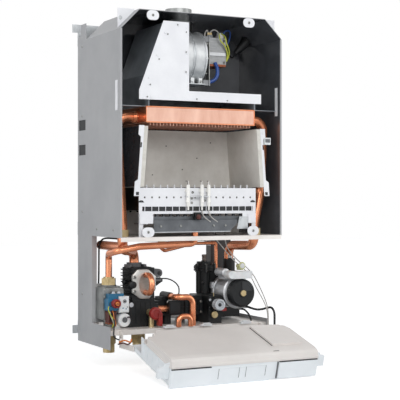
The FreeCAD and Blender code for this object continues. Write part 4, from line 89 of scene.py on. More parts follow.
# %% Camera
camera_data = bpy.data.cameras.new("camera")
camera_data.lens = 100.75
camera_data.sensor_width = 36
camera_data.clip_end = 100
camera = placed("camera", camera_data)
camera.location = (-1.1337, -2.45245, -0.3649)
camera.rotation_euler = (math.radians(89.818), 0, math.radians(-27.084))
bpy.context.scene.camera = camera
print("camera looks", round(math.degrees(camera.rotation_euler.z), 2), "degrees from the wall's normal")

# %% Colour and nodes
def linear(code):
    """An sRGB hex value as the linear colour that a shader wants."""
    parts = [int(code[i:i + 2], 16) / 255 for i in (0, 2, 4)]
    return [c / 12.92 if c <= 0.04045 else ((c + 0.055) / 1.055) ** 2.4 for c in parts] + [1.0]


def blank_tree(owner):
    """The emptied shader tree of a material or of the world."""
    owner.use_nodes = True
    owner.node_tree.nodes.clear()
    return owner.node_tree


def add_node(tree, kind, values=None):
    """Adds one node. A node or output among the values is joined to its socket, the others are set."""
    node = tree.nodes.new(kind)
    for name, value in (values or {}).items():
        if isinstance(value, bpy.types.Node):
            value = value.outputs[0]
        if isinstance(value, bpy.types.NodeSocket):
            tree.links.new(value, node.inputs[name])
        elif isinstance(name, str) and name in node.bl_rna.properties:
            setattr(node, name, value)
        else:
            node.inputs[name].default_value = value
    return node


# %% [markdown]
# A catalogue photo has one very large soft light from the front, weaker ones at the sides, and a white room
# all round. The room matters most for metal, because metal shows what is around it.

# %% Lights, floor and room
world = bpy.data.worlds.new("studio")
bpy.context.scene.world = world
sky = blank_tree(world)
ray = add_node(sky, "ShaderNodeLightPath")
room = add_node(sky, "ShaderNodeBackground", {"Color": linear("F2F4F6"), "Strength": 0.42})
paper = add_node(sky, "ShaderNodeBackground", {"Color": (1, 1, 1, 1), "Strength": 1.0})
straight = add_node(sky, "ShaderNodeMath", {"operation": "MAXIMUM", 0: ray.outputs["Is Camera Ray"],
    1: ray.outputs["Is Transmission Ray"]})
shown = add_node(sky, "ShaderNodeMath", {"operation": "MAXIMUM", 0: straight,
    1: ray.outputs["Is Glossy Ray"]})
mixed = add_node(sky, "ShaderNodeMixShader", {0: shown, 1: room, 2: paper})
add_node(sky, "ShaderNodeOutputWorld", {"Surface": mixed})


def lamp(name, place, target, size, power):
    """A rectangular soft light that faces its target. Places are in metres."""
    data = bpy.data.lights.new(name, "AREA")
    data.shape = "RECTANGLE"
    data.size, data.size_y = size
    data.energy = power
    thing = placed(name, data)
    thing.location = place
    thing.rotation_euler = (Vector(target) - Vector(place)).to_track_quat("-Z", "Y").to_euler()


lamp("front_softbox", (-0.6, -2.6, 0.9), (0, -0.1, -0.3), (1.6, 1.6), 34)
lamp("left_softbox", (-2.4, -0.6, 0.2), (0, -0.1, -0.4), (1.2, 2.0), 15)
lamp("right_softbox", (2.2, -1.6, 0.1), (0, -0.1, -0.3), (1.2, 2.0), 15)

floor_paint = bpy.data.materials.new("studio_paper")
paper_tree = blank_tree(floor_paint)
seen = add_node(paper_tree, "ShaderNodeLightPath")
matte = add_node(paper_tree, "ShaderNodeBsdfPrincipled", {"Base Color": linear("F4F5F6"), "Roughness": 0.9})
glow = add_node(paper_tree, "ShaderNodeEmission", {"Color": (1, 1, 1, 1), "Strength": 0.6})
both = add_node(paper_tree, "ShaderNodeAddShader", {0: matte, 1: glow})
through = add_node(paper_tree, "ShaderNodeMath", {"operation": "MAXIMUM", 0: seen.outputs["Is Camera Ray"],
    1: seen.outputs["Is Transmission Ray"]})
kept = add_node(paper_tree, "ShaderNodeMixShader", {0: through, 1: matte, 2: both})
add_node(paper_tree, "ShaderNodeOutputMaterial", {"Surface": kept})
floor_mesh = bpy.data.meshes.new("floor")
floor_level = cad_box[0][2] - 0.002
floor_mesh.from_pydata([(-6, -6, floor_level), (6, -6, floor_level), (6, 6, floor_level),
    (-6, 6, floor_level)], [], [(0, 1, 2, 3)])
floor_mesh.materials.append(floor_paint)
floor = placed("floor", floor_mesh)
bpy.context.scene.view_settings.view_transform = "Standard"
print("floor at", round(floor_level, 3))

# %% [markdown]
# ## Cords
# The pump and valve cables are soft PVC, the spark leads are silicone rubber, and the thin ones are single
# wires. Each hangs between two glands, and its line is one smooth spline through the same route as its
# solid.

# %% Routes
PUMP_CABLE = [(157, -165, 78), (157.3, -174, 77), (163.3, -184, 74), (173.5, -189.4, 71),
    (184.3, -194.2, 72.2), (192, -204.6, 76), (195, -215, 78.4), (195, -225.4, 74.8), (195.2, -231.7, 65.8),
    (195, -232, 52), (195, -231.8, 36)]
SHORT_PUMP_CABLE = [(146, -165, 73), (146.5, -175, 72), (150, -184, 66), (156, -186, 57), (162, -181.5, 45)]
FIRST_LEAD = [(-2, -249, 306), (-1, -248.5, 296), (8, -246, 287), (22, -243.5, 279), (34, -238, 270),
              (44, -225, 265.5), (54, -207, 263.5), (62.5, -192, 260), (66, -185, 252.6), (66, -185, 237),
              (85.4, -180, 220), (105, -173, 200.7), (136, -160, 178), (155, -155, 167), (172, -160, 150),
              (178.5, -175, 122), (182.6, -203, 93), (182.8, -217, 76), (183.4, -221, 57), (184, -221.5, 36)]
SECOND_LEAD = [(15, -249, 306), (16, -248.5, 296), (25, -246, 287), (39, -243.5, 279), (52, -238, 270),
               (64, -225, 265.5), (76, -207, 263.5), (86, -192, 260), (90, -185, 252.6), (90, -185, 237),
               (98, -179, 220), (112, -170, 205), (145.7, -152, 182), (166, -148, 170), (183, -155, 151),
               (189, -172, 125), (190, -196, 98), (189, -211, 79), (188.7, -215, 59), (188.7, -215.5, 36)]
LEFT_LOOM = [(127.5, -16.8, 228), (95, -20, 229), (40, -34, 229.6), (-15, -46, 230), (-60, -56, 231),
    (-105, -66, 235), (-145, -75, 239.3), (-166, -79, 240), (-175.5, -82, 233.6), (-180.5, -84.5, 222.4),
    (-180.5, -84, 202), (-180.8, -84.4, 164), (-181.5, -83.5, 122), (-184.3, -81, 84), (-186, -80, 49)]
DIVERTER_CABLE = [(-43, -118, 146), (-29, -118.2, 146.5), (-13, -117, 142), (2, -115, 132), (9.5, -113, 119),
                  (7, -112, 105.5)]
VALVE_CABLE = [(-177, -155, 64), (-177, -165, 63.5), (-180, -176, 59), (-185, -186, 51), (-189, -192, 42),
               (-190, -193.5, 32), (-187.2, -194, 26.5), (-182.2, -194, 23), (-176.5, -194, 21.4)]


# %% [markdown]
# ## Finishes
# Each finish starts from what the real surface is. A slow pattern changes its colour and gloss together, as
# handling and age do, and a fine one is its grain, as bump.

# %% One function for a finish
MATERIALS = {}


def surface(name, colour, shade, patch, grain, bump, rough, spread=0.06, metal=0.0, stretch=(1, 1, 1),
        **sockets):
    """A finish with slow colour patches and a fine grain. Patch, grain and bump are in millimetres."""
    made = bpy.data.materials.new(name)
    tree = blank_tree(made)
    place = add_node(tree, "ShaderNodeTexCoord")
    turned = add_node(tree, "ShaderNodeMapping", {"Scale": stretch, "Vector": place.outputs["Object"]})
    patches = add_node(tree, "ShaderNodeTexNoise", {"Scale": 1000 / patch, "Detail": 4, "Roughness": 0.6,
        "Vector": turned})
    ramp = add_node(tree, "ShaderNodeValToRGB", {"Fac": patches.outputs["Fac"]})
    ramp.color_ramp.elements[0].position, ramp.color_ramp.elements[1].position = 0.32, 0.68
    ramp.color_ramp.elements[0].color, ramp.color_ramp.elements[1].color = linear(shade), linear(colour)
    fine = add_node(tree, "ShaderNodeTexNoise", {"Scale": 1000 / grain, "Detail": 2, "Vector": turned})
    relief = add_node(tree, "ShaderNodeBump", {"Strength": 0.6, "Distance": bump / 1000,
        "Height": fine.outputs["Fac"]})
    gloss = add_node(tree, "ShaderNodeMapRange", {"To Min": rough - spread, "To Max": rough + spread,
        "Value": patches.outputs["Fac"]})
    shader = add_node(tree, "ShaderNodeBsdfPrincipled", {"Metallic": metal, **sockets, "Base Color": ramp,
        "Roughness": gloss, "Normal": relief})
    add_node(tree, "ShaderNodeOutputMaterial", {"Surface": shader})
    MATERIALS[name] = made
    return made


# %% [markdown]
# Sheet steel first. The casing is powder coated, which leaves a faint orange peel about 2 mm across.
# The chamber's inner faces are painted near-black, as painted reflection and shade of the dark inside; they
# are glossy and mirror the white parts in it.

# %% Coated and bare steel
grey_powder_coat = surface("grey_powder_coat", "A8A9AB", "9C9DA0", 90, 2.0, 0.05, 0.42)
white_powder_coat = surface("white_powder_coat", "ECEDF0", "E2E3E7", 60, 2.0, 0.05, 0.38)
# Near-black of the chamber's inside: painted reflection and shade; only its gloss is the sheet's.
black_stove_enamel = surface("black_stove_enamel", "505257", "3D3F43", 130, 5.0, 0.06, 0.2, 0.05,
    **{"Coat Weight": 0.4, "Coat Roughness": 0.08})
aluminised_steel = surface("aluminised_steel", "A6ADB4", "7C838A", 70, 1.5, 0.04, 0.34, 0.08, 0.35)
brushed_steel = surface("brushed_steel", "B9BABB", "9A9B9C", 30, 0.7, 0.03, 0.32, 0.06, 1.0, (1, 1, 14))
mid_grey_steel = surface("mid_grey_steel", "6E7175", "595C60", 30, 1.0, 0.03, 0.4, 0.06, 0.6)
dark_burner_steel = surface("heat_darkened_steel", "6E6B68", "4A4745", 25, 1.0, 0.05, 0.42, 0.08, 1.0)

# %% Zinc
# Hot dip galvanising freezes into spangles about 9 mm across, each at its own brightness.
galvanised = surface("galvanised_steel", "D4D7D9", "C2C6C9", 40, 1.0, 0.03, 0.34, 0.05, 0.6)
zinc = galvanised.node_tree
zinc_place = add_node(zinc, "ShaderNodeTexCoord")
spangle = add_node(zinc, "ShaderNodeTexVoronoi", {"Scale": 1000 / 9, "Vector": zinc_place.outputs["Object"]})
spangle_tone = add_node(zinc, "ShaderNodeMapRange", {"To Min": 0.82, "To Max": 1.0,
    "Value": spangle.outputs["Color"]})
zinc_shader = next(n for n in zinc.nodes if n.type == "BSDF_PRINCIPLED")
zinc_ramp = next(n for n in zinc.nodes if n.type == "VALTORGB")
toned = add_node(zinc, "ShaderNodeMix", {"data_type": "RGBA", "blend_type": "MULTIPLY", "Factor": 1.0,
    6: zinc_ramp, 7: spangle_tone})
zinc.links.new(toned.outputs[2], zinc_shader.inputs["Base Color"])

# %% Zinc painted light: its pale colour is painted reflection of the white room, lifting its shade
bright_zinc = surface("galvanised_steel_with_painted_reflection", "F0EBE6", "E4DED9", 60, 1.0, 0.02, 0.36, 0.05, 0.3)

# %% [markdown]
# Copper and brass. Drawn pipe is bright with darker tarnish in patches; the heat exchanger is paler,
# because it was pickled after brazing.

# %% Copper, brass, aluminium
drawn_copper = surface("drawn_copper", "F4A57C", "DC8860", 60, 1.6, 0.01, 0.25, 0.04, 0.74)
pickled_copper = surface("pickled_copper", "EEC4B0", "DBA893", 30, 1.0, 0.03, 0.36, 0.07, 0.62, (1, 1, 0.35))
turned_brass = surface("turned_brass", "D2BE93", "B09A6C", 16, 0.6, 0.02, 0.3, 0.06, 0.75)
cast_aluminium = surface("cast_aluminium", "9D9F9E", "7C7E7D", 18, 0.9, 0.12, 0.42, 0.07, 0.9)
fan_aluminium = surface("blasted_aluminium", "E2E4E5", "C6C9CB", 26, 0.9, 0.08, 0.36, 0.06, 0.7)
bright_aluminium = surface("bright_aluminium", "D0D2D4", "B8BABD", 24, 0.8, 0.03, 0.4, 0.05, 0.6)

# %% [markdown]
# Plastics are moulded, so their gloss is even and their grain is shallow. Ceramic fibre is soft and matt
# like felt.

# %% Plastics, rubber, ceramics
black_nylon = surface("black_glass_filled_nylon", "17191B", "0F1113", 20, 0.9, 0.05, 0.46,
    **{"Specular IOR Level": 0.32})
grey_nylon = surface("grey_nylon", "6C6E71", "5A5C5F", 20, 0.9, 0.04, 0.42)
lid_plastic = surface("warm_grey_abs", "E4DFDB", "DAD5D1", 120, 1.2, 0.04, 0.4)
front_plastic = surface("cool_white_abs", "ECF0F3", "E2E7EA", 120, 1.2, 0.03, 0.34)
white_nylon = surface("white_nylon", "E6E7E8", "D8D9DA", 20, 0.8, 0.03, 0.36, **{"Subsurface Weight": 0.05})
red_plastic = surface("red_nylon", "96231E", "741A17", 14, 0.8, 0.04, 0.4)
blue_plastic = surface("blue_nylon", "1F7096", "175A7C", 18, 0.8, 0.04, 0.32)
green_board = surface("solder_resist", "1F6B3C", "17512D", 20, 1.0, 0.03, 0.34)
ceramic_fibre = surface("ceramic_fibre_board", "E2DFD9", "D3CFC8", 40, 1.8, 0.2, 0.9)
white_ceramic = surface("glazed_alumina", "F3F2EE", "E6E5E0", 14, 0.8, 0.02, 0.16, **{"Coat Weight": 0.5})
red_rubber = surface("red_silicone_rubber", "7A1F17", "5C1712", 12, 0.8, 0.05, 0.55)
black_rubber = surface("black_rubber", "1C1D1F", "131415", 18, 0.8, 0.06, 0.58)
white_lead = surface("grey_silicone_lead", "BDBAB6", "ABA8A4", 12, 0.6, 0.02, 0.45)
vessel_paint = surface("grey_stoving_paint", "8F9194", "818386", 80, 1.6, 0.04, 0.3)

# %% [markdown]
# The last ones belong to small parts: screw zinc, wires, windings and clear caps.

# %% Small parts' finishes
zinc_screw = surface("zinc_plated_screw", "A8A9A6", "8C8D8A", 6, 0.5, 0.02, 0.3, 0.05, 1.0)
dark_recess = surface("shadowed_recess", "25272A", "1B1C1F", 10, 0.8, 0.02, 0.6)
# Dark coat whose brown is a painted reflection of copper, for the upright behind the pump.
dark_bronze_coat = surface("dark_bronze_coat", "3B2F2C", "2A2221", 60, 1.5, 0.03, 0.35)
lamination_core = surface("oiled_lamination_edges", "8F9193", "75777A", 12, 0.7, 0.05, 0.4, 0.06, 0.9)
varnished_copper = surface("varnished_copper_winding", "9A5A3C", "7A4028", 6, 0.7, 0.12, 0.35, 0.06, 0.5)
yellow_green = surface("yellow_green_pvc", "C9C23E", "8FA63A", 5, 0.6, 0.01, 0.42)
blue_lead = surface("blue_pvc", "27509C", "1E3F80", 12, 0.6, 0.02, 0.38)
orange_lead = surface("orange_pvc", "D07A3A", "B86428", 10, 0.6, 0.01, 0.42)
pale_fibre = surface("bound_fibre_edge", "DAD8D2", "C9C6BE", 14, 1.2, 0.2, 0.85)
red_brown_coil = surface("baked_winding_tape", "5A1F14", "35130D", 8, 0.8, 0.05, 0.5)
brass_orange = surface("lacquered_brass", "E08A50", "C06A34", 6, 0.5, 0.02, 0.28, 0.05, 0.7)
clear_nylon = surface("clear_nylon", "C2C6CB", "B0B5BB", 8, 0.6, 0.02, 0.2, 0.04, 0.0, (1, 1, 1),
    **{"Coat Weight": 0.6})
smoked_cap = surface("smoked_cap", "8A7F78", "6A605A", 8, 0.6, 0.02, 0.2)
pressed_steel = surface("pressed_bright_steel", "C9C8C5", "B0AFAB", 26, 0.8, 0.02, 0.34, 0.05, 0.55)
dished_steel = surface("dished_bright_steel", "A6A19A", "86807A", 20, 0.8, 0.03, 0.4, 0.06, 0.7)
cap_gloss = surface("black_cap_face", "27292C", "1E2022", 24, 0.9, 0.03, 0.36)
vent_knob = surface("translucent_vent_knob", "DADCA8", "C2C68C", 8, 0.6, 0.02, 0.25)
print("finishes:", len(MATERIALS))

# %% Finishes of the CAD nodes
FINISHES = [
    (grey_powder_coat, "side_channels lower_side_panels chamber_sides chamber_top"),
    (white_powder_coat, "cover_lugs hood_front_plate combustion_chamber burner_front_bar"),
    # The chamber's back is painted near-black: painted reflection and shade.
    (black_stove_enamel, "chamber_back"),
    (galvanised, "wall_frame"),
    # Chamber floor and tray are painted pale: painted reflection of the white room.
    (bright_zinc, "chamber_floor connection_tray"),
    (aluminised_steel, "smoke_hood"),
    (brushed_steel, "fan_motor diverter_cover plate_heat_exchanger pump_rotor"),
    (mid_grey_steel, "gas_manifold"),
    (dark_burner_steel, "burner_blades"),
    (bright_aluminium, "fan_wheel pump_motor"),
    (cast_aluminium, "flue_spigot gas_valve_body"),
    (fan_aluminium, "fan_volute"),
    (pickled_copper, "exchanger_case exchanger_core"),
    (drawn_copper, "flow_pipe return_pipe gas_pipe bypass_pipes"),
    (turned_brass, "brass_fittings diverter_spindle pump_vent_screw service_pipes"),
    (ceramic_fibre, "ceramic_liner"),
    (white_ceramic, "electrodes"),
    (red_rubber, "floor_grommets"),
    (vessel_paint, "expansion_vessel"),
    (black_nylon, "diverter_block crossover_manifold pump_housing pump_cap"),
    (grey_nylon, "diverter_actuator heating_knob hot_water_knob"),
    (white_nylon, "pump_terminal_box safety_valve_knob"),
    (blue_plastic, "gas_valve_coils"),
    (red_plastic, "filling_tap_knob reset_button"),
    (front_plastic, "control_box_panel"),
    (lid_plastic, "control_box_lid"),
    (green_board, "circuit_board"),
]
finished = 0
for node_finish, node_names in FINISHES:
    for node_name in node_names.split():
        # The finish sits in the object's slots; the mesh stays as packed.
        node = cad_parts[node_name]
        if not node.material_slots:
            node.data.materials.append(node_finish)
        for slot in node.material_slots:
            slot.link = "OBJECT"
            slot.material = node_finish
        finished += 1
print("finished nodes:", finished)

# %% Cords as splines
def cord(name, node, route, diameter, material):
    """One smooth cable on its route, in place of its solid."""
    line = bpy.data.curves.new(name, "CURVE")
    line.dimensions = "3D"
    line.resolution_u = 10
    line.bevel_depth = diameter / 2000
    line.bevel_resolution = 4
    line.use_fill_caps = True
    spline = line.splines.new("NURBS")
    spline.points.add(len(route) - 1)
    for point, place in zip(spline.points, route):
        point.co = (*at(*place), 1)
    spline.order_u = 3
    spline.use_endpoint_u = True
    line.materials.append(material)
    piece = placed(name, line)
    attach(piece, "frame")
    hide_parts(node)
    return piece


def straight_length(route):
    """The length of the runs between a route's points, in metres."""
    return sum((at(*b) - at(*a)).length for a, b in zip(route, route[1:]))


CORDS = [
    ("pump_cable", PUMP_CABLE, 5.2, black_rubber, 0.1194),
    ("pump_cable_two", SHORT_PUMP_CABLE, 4.2, black_rubber, 0.0457),
    ("ignition_lead_one", FIRST_LEAD, 2.4, white_lead, 0.4103),
    ("ignition_lead_two", SECOND_LEAD, 2.4, white_lead, 0.4095),
    ("left_loom", LEFT_LOOM, 4, black_rubber, 0.5014),
    ("diverter_cable", DIVERTER_CABLE, 3, black_rubber, 0.0767),
    ("valve_cable", VALVE_CABLE, 3, black_rubber, 0.0751),
]
for cord_name, cord_route, cord_width, cord_finish, cord_length in CORDS:
    cord_piece = cord(cord_name + "_sheath", cord_name, cord_route, cord_width, cord_finish)
    print(cord_name, "runs", round(straight_length(cord_route), 4))

# %% [markdown]
# ## Building pieces
# Moulded and cast pieces are drawn as small solids set together.
# A short class keeps the mesh and its finishes, and a narrow bevel at the end catches the light as a real
# edge does.

# %% A work piece
HINGE = at(0, -253, 9)
LOWERED = math.radians(15.95)
SHARP_FROM = math.radians(35)
BEVEL_FROM = math.radians(40)


def circle(middle, side, other, radius, sides):
    """Places round a middle, in the plane of two directions. Only the radius is in millimetres."""
    turns = [2 * math.pi * k / sides for k in range(sides)]
    return [middle + (side * math.cos(turn) + other * math.sin(turn)) * radius / 1000 for turn in turns]


class Piece:
    """A mesh in the making. Places are in millimetres: x, y and the height above the casing's underside."""

    def __init__(self, name):
        self.name = name
        self.mesh = bmesh.new()
        self.finishes = []

    def paint(self, first_face, material):
        """Gives every face made since first_face its finish."""
        if material not in self.finishes:
            self.finishes.append(material)
        self.mesh.faces.ensure_lookup_table()
        for face in self.mesh.faces[first_face:]:
            face.material_index = self.finishes.index(material)

    def block(self, x, y, rise, material):
        """A box between two x, two y and two heights."""
        count = len(self.mesh.faces)
        low, high = at(x[0], y[0], rise[0]), at(x[1], y[1], rise[1])
        size = Matrix.Diagonal((*(high - low), 1))
        bmesh.ops.create_cube(self.mesh, size=1, matrix=Matrix.Translation((low + high) / 2) @ size)
        self.paint(count, material)

    def blocks(self, material, *boxes):
        """Boxes of one finish. Each lists two x, two y and two heights."""
        for left, right, front, back, low, high in boxes:
            self.block((left, right), (front, back), (low, high), material)

    def rod(self, start, end, radius, material, sides=32):
        """A round bar between two places."""
        count = len(self.mesh.faces)
        a, b = at(*start), at(*end)
        turn = (b - a).to_track_quat("Z", "Y").to_matrix().to_4x4()
        bmesh.ops.create_cone(self.mesh, cap_ends=True, segments=sides, radius1=radius / 1000,
            radius2=radius / 1000, depth=(b - a).length, matrix=Matrix.Translation((a + b) / 2) @ turn)
        self.paint(count, material)

    def skin(self, rings, material, caps=True):
        """Joins rings of places. Caps close the ends, or else the last ring meets the first."""
        count = len(self.mesh.faces)
        made = [[self.mesh.verts.new(spot) for spot in ring] for ring in rings]
        for low, high in zip(made, made[1:] if caps else made[1:] + made[:1]):
            for k in range(len(low)):
                m = (k + 1) % len(low)
                self.mesh.faces.new((low[k], low[m], high[m], high[k]))
        if caps:
            self.mesh.faces.new(made[0][::-1])
            self.mesh.faces.new(made[-1])
        self.paint(count, material)

    def turned(self, start, aim, profile, material, sides=40):
        """A lathe piece. The profile lists how far along the aim, and the radius there."""
        origin, axis = at(*start), Vector(aim).normalized()
        side = axis.orthogonal().normalized()
        other = axis.cross(side)
        rings = [circle(origin + axis * along / 1000, side, other, radius, sides)
                 for along, radius in profile]
        self.skin(rings, material)

    def prism(self, outlines, material):
        """A plate between two outlines with as many places each."""
        count = len(self.mesh.faces)
        near, far = [[self.mesh.verts.new(at(*spot)) for spot in outline] for outline in outlines]
        self.mesh.faces.new(near)
        self.mesh.faces.new(far[::-1])
        for k in range(len(near)):
            m = (k + 1) % len(near)
            self.mesh.faces.new((near[m], near[k], far[k], far[m]))
        self.paint(count, material)

    def slab(self, outline, y, material):
        """A plate cut to an outline of x and height, between two y."""
        self.prism([[(x, depth, rise) for x, rise in outline] for depth in y], material)

    def strip(self, outline, x, material):
        """A plate cut to an outline of y and height, between two x."""
        self.prism([[(end, y, rise) for y, rise in outline] for end in x], material)

    def lower(self):
        """Turns what was drawn level, from the hinge line, to where the lowered electronics box has it."""
        level = Matrix.Translation(-at(0, 0, 0))
        turn = Matrix.Translation(HINGE) @ Matrix.Rotation(LOWERED, 4, "X") @ level
        bmesh.ops.transform(self.mesh, matrix=turn, verts=self.mesh.verts)

    def tube(self, points, radius, material, sides=12, steps=6):
        """A bent bar whose middle runs smoothly through its points."""
        spots = [at(*point) for point in points]
        spots = [2 * spots[0] - spots[1]] + spots + [2 * spots[-1] - spots[-2]]
        line = []
        for a, b, c, d in zip(spots, spots[1:], spots[2:], spots[3:]):
            for k in range(steps):
                t = k / steps
                bend, twist = 2 * a - 5 * b + 4 * c - d, 3 * b - a - 3 * c + d
                line.append(0.5 * (2 * b + (c - a) * t + bend * t * t + twist * t ** 3))
        line.append(spots[-2])
        side = (line[1] - line[0]).orthogonal().normalized()
        rings = []
        for k, middle in enumerate(line):
            ahead = (line[min(k + 1, len(line) - 1)] - line[max(k - 1, 0)]).normalized()
            side = (side - ahead * side.dot(ahead)).normalized()
            rings.append(circle(middle, side, ahead.cross(side), radius, sides))
        self.skin(rings, material)

    def done(self, body="frame", replaces=(), edge=0.4):
        """Turns the work into an object that rides on its body, with its sharp edges narrowly rounded."""
        bmesh.ops.recalc_face_normals(self.mesh, faces=self.mesh.faces)
        mesh = bpy.data.meshes.new(self.name)
        self.mesh.to_mesh(mesh)
        self.mesh.free()
        for material in self.finishes:
            mesh.materials.append(material)
        mesh.shade_smooth()
        mesh.set_sharp_from_angle(angle=SHARP_FROM)
        thing = placed(self.name, mesh)
        if edge:
            bevel = thing.modifiers.new("edges", "BEVEL")
            bevel.width = edge / 1000
            bevel.segments = 2
            bevel.limit_method = "ANGLE"
            bevel.angle_limit = BEVEL_FROM
            bevel.harden_normals = True
        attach(thing, body)
        if replaces:
            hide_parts(*replaces)
        print(self.name, "faces:", len(mesh.polygons))


# %% [markdown]
# ## Things that repeat
# Screws, motor sheets and burner slots repeat by a rule, so Geometry Nodes place them. One tree sets a box
# on each step of a row; another sets a screw head on each given point and turns it to face the way the
# point says.

# %% Sockets and links of a tree
def new_tree(name, inputs):
    """An empty Geometry Nodes tree with a geometry input and output and the named inputs."""
    tree = bpy.data.node_groups.new(name, "GeometryNodeTree")
    tree.interface.new_socket("Geometry", in_out="INPUT", socket_type="NodeSocketGeometry")
    for title, kind in inputs:
        tree.interface.new_socket(title, in_out="INPUT", socket_type=kind)
    tree.interface.new_socket("Geometry", in_out="OUTPUT", socket_type="NodeSocketGeometry")
    return tree


def from_tree(name, tree, values, mesh):
    """Runs a tree on a mesh and keeps the result as a plain mesh that stays with the frame."""
    thing = placed(name, mesh)
    made = thing.modifiers.new("tree", "NODES")
    made.node_group = tree
    sockets = {item.name: item.identifier for item in tree.interface.items_tree if item.in_out == "INPUT"}
    for title, value in values.items():
        made[sockets[title]] = value
    bpy.context.view_layer.update()
    graph = bpy.context.evaluated_depsgraph_get()
    plain = bpy.data.meshes.new_from_object(thing.evaluated_get(graph), preserve_all_data_layers=True,
        depsgraph=graph)
    thing.modifiers.remove(made)
    thing.data = plain
    plain.shade_smooth()
    plain.set_sharp_from_angle(angle=SHARP_FROM)
    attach(thing, "frame")
    print(name, "faces:", len(plain.polygons))


# %% A row of boxes
def row_tree():
    """Boxes of one size, set one after the other from a start along a step."""
    tree = new_tree("row_of_boxes", [("Count", "NodeSocketInt"), ("Start", "NodeSocketVector"),
        ("Step", "NodeSocketVector"), ("Size", "NodeSocketVector"), ("Finish", "NodeSocketMaterial")])
    given = add_node(tree, "NodeGroupInput")
    line = add_node(tree, "GeometryNodeMeshLine", {"Count": given.outputs["Count"],
        "Start Location": given.outputs["Start"], "Offset": given.outputs["Step"]})
    box = add_node(tree, "GeometryNodeMeshCube", {"Size": given.outputs["Size"]})
    spread = add_node(tree, "GeometryNodeInstanceOnPoints", {"Points": line, "Instance": box})
    real = add_node(tree, "GeometryNodeRealizeInstances", {0: spread})
    painted = add_node(tree, "GeometryNodeSetMaterial", {"Geometry": real,
        "Material": given.outputs["Finish"]})
    add_node(tree, "NodeGroupOutput", {"Geometry": painted})
    return tree


ROW = row_tree()


def row(name, count, start, step, size, material):
    """A row from the tree: start is the first box's middle, and step and size are in millimetres."""
    values = {"Count": count, "Start": tuple(at(*start)), "Step": tuple(v / 1000 for v in step),
              "Size": tuple(v / 1000 for v in size), "Finish": material}
    from_tree(name, ROW, values, bpy.data.meshes.new(name))


# %% Screws on points
def screw_tree():
    """A domed head with a cross recess on each vertex, turned so that it faces along the vertex's aim."""
    tree = new_tree("screws_on_points", [("Radius", "NodeSocketFloat"), ("Height", "NodeSocketFloat"),
                                         ("Finish", "NodeSocketMaterial"), ("Recess", "NodeSocketMaterial")])
    given = add_node(tree, "NodeGroupInput")
    head = add_node(tree, "GeometryNodeMeshCone", {"Vertices": 20, "Side Segments": 2,
        "Depth": given.outputs["Height"], "Radius Bottom": given.outputs["Radius"]})
    top = add_node(tree, "ShaderNodeMath", {"operation": "MULTIPLY", 1: 0.72, 0: given.outputs["Radius"]})
    tree.links.new(top.outputs[0], head.inputs["Radius Top"])
    steel = add_node(tree, "GeometryNodeSetMaterial", {"Geometry": head,
        "Material": given.outputs["Finish"]})
    long_side = add_node(tree, "ShaderNodeMath", {"operation": "MULTIPLY", 1: 0.95,
        0: given.outputs["Radius"]})
    thin_side = add_node(tree, "ShaderNodeMath", {"operation": "MULTIPLY", 1: 0.26,
        0: given.outputs["Radius"]})
    tall_side = add_node(tree, "ShaderNodeMath", {"operation": "MULTIPLY", 1: 0.12,
        0: given.outputs["Height"]})
    bars = []
    for first, second in ((long_side, thin_side), (thin_side, long_side)):
        size = add_node(tree, "ShaderNodeCombineXYZ", {"X": first, "Y": second, "Z": tall_side})
        bars.append(add_node(tree, "GeometryNodeMeshCube", {"Size": size}))
    cross = add_node(tree, "GeometryNodeJoinGeometry", {0: bars[0]})
    tree.links.new(bars[1].outputs[0], cross.inputs[0])
    lift = add_node(tree, "ShaderNodeCombineXYZ", {"Z": given.outputs["Height"]})
    raised = add_node(tree, "GeometryNodeTransform", {"Geometry": cross, "Translation": lift})
    dark = add_node(tree, "GeometryNodeSetMaterial", {"Geometry": raised,
        "Material": given.outputs["Recess"]})
    screw = add_node(tree, "GeometryNodeJoinGeometry", {0: steel})
    tree.links.new(dark.outputs[0], screw.inputs[0])
    aim = add_node(tree, "GeometryNodeInputNamedAttribute", {"data_type": "FLOAT_VECTOR", "Name": "aim"})
    turn = add_node(tree, "FunctionNodeAlignRotationToVector", {"axis": "Z",
        "Vector": aim.outputs["Attribute"]})
    spots = add_node(tree, "GeometryNodeMeshToPoints", {"Mesh": given.outputs["Geometry"]})
    spread = add_node(tree, "GeometryNodeInstanceOnPoints", {"Points": spots, "Instance": screw,
        "Rotation": turn})
    real = add_node(tree, "GeometryNodeRealizeInstances", {0: spread})
    add_node(tree, "NodeGroupOutput", {"Geometry": real})
    return tree


SCREWS = screw_tree()


def screws(name, spots, radius, height):
    """One mesh of zinc plated screws. Each spot is a place and the direction that the head faces."""
    mesh = bpy.data.meshes.new(name)
    mesh.from_pydata([at(*place) for place, aim in spots], [], [])
    aims = mesh.attributes.new("aim", "FLOAT_VECTOR", "POINT")
    for item, (place, aim) in zip(aims.data, spots):
        item.vector = aim
    values = {"Radius": radius / 1000, "Height": height / 1000, "Finish": zinc_screw, "Recess": dark_recess}
    from_tree(name, SCREWS, values, mesh)


# %% [markdown]
# ## The sealed chamber
# The casing is grey outside and painted near-black inside, as painted reflection and shade of the dark
# chamber.
# A thin lining on the inner faces is the simplest way to have two colours on one sheet.

# %% Lining
FRONT_TO_BACK = (-254.7, -57.3)
lining = Piece("chamber_lining")
# The lining's near-black is painted reflection and shade on the inner faces.
for side in (-1, 1):
    wall = [(198.75, 247.4), (198.75, 693.9), (155.6, 736.7), (155.3, 736.3), (198.3, 693.6), (198.3, 247.4)]
    lining.slab([(side * x, rise) for x, rise in wall], FRONT_TO_BACK, black_stove_enamel)
# The roof is left open round the flue.
ROOF_STRIPS = [((-155.3, -34), FRONT_TO_BACK), ((30, 155.3), FRONT_TO_BACK), ((-34, 30), (-254.7, -162)),
               ((-34, 30), (-98, -57.3))]
for strip_x, strip_y in ROOF_STRIPS:
    lining.block(strip_x, strip_y, (736.3, 736.7), black_stove_enamel)
lining.done(edge=0)
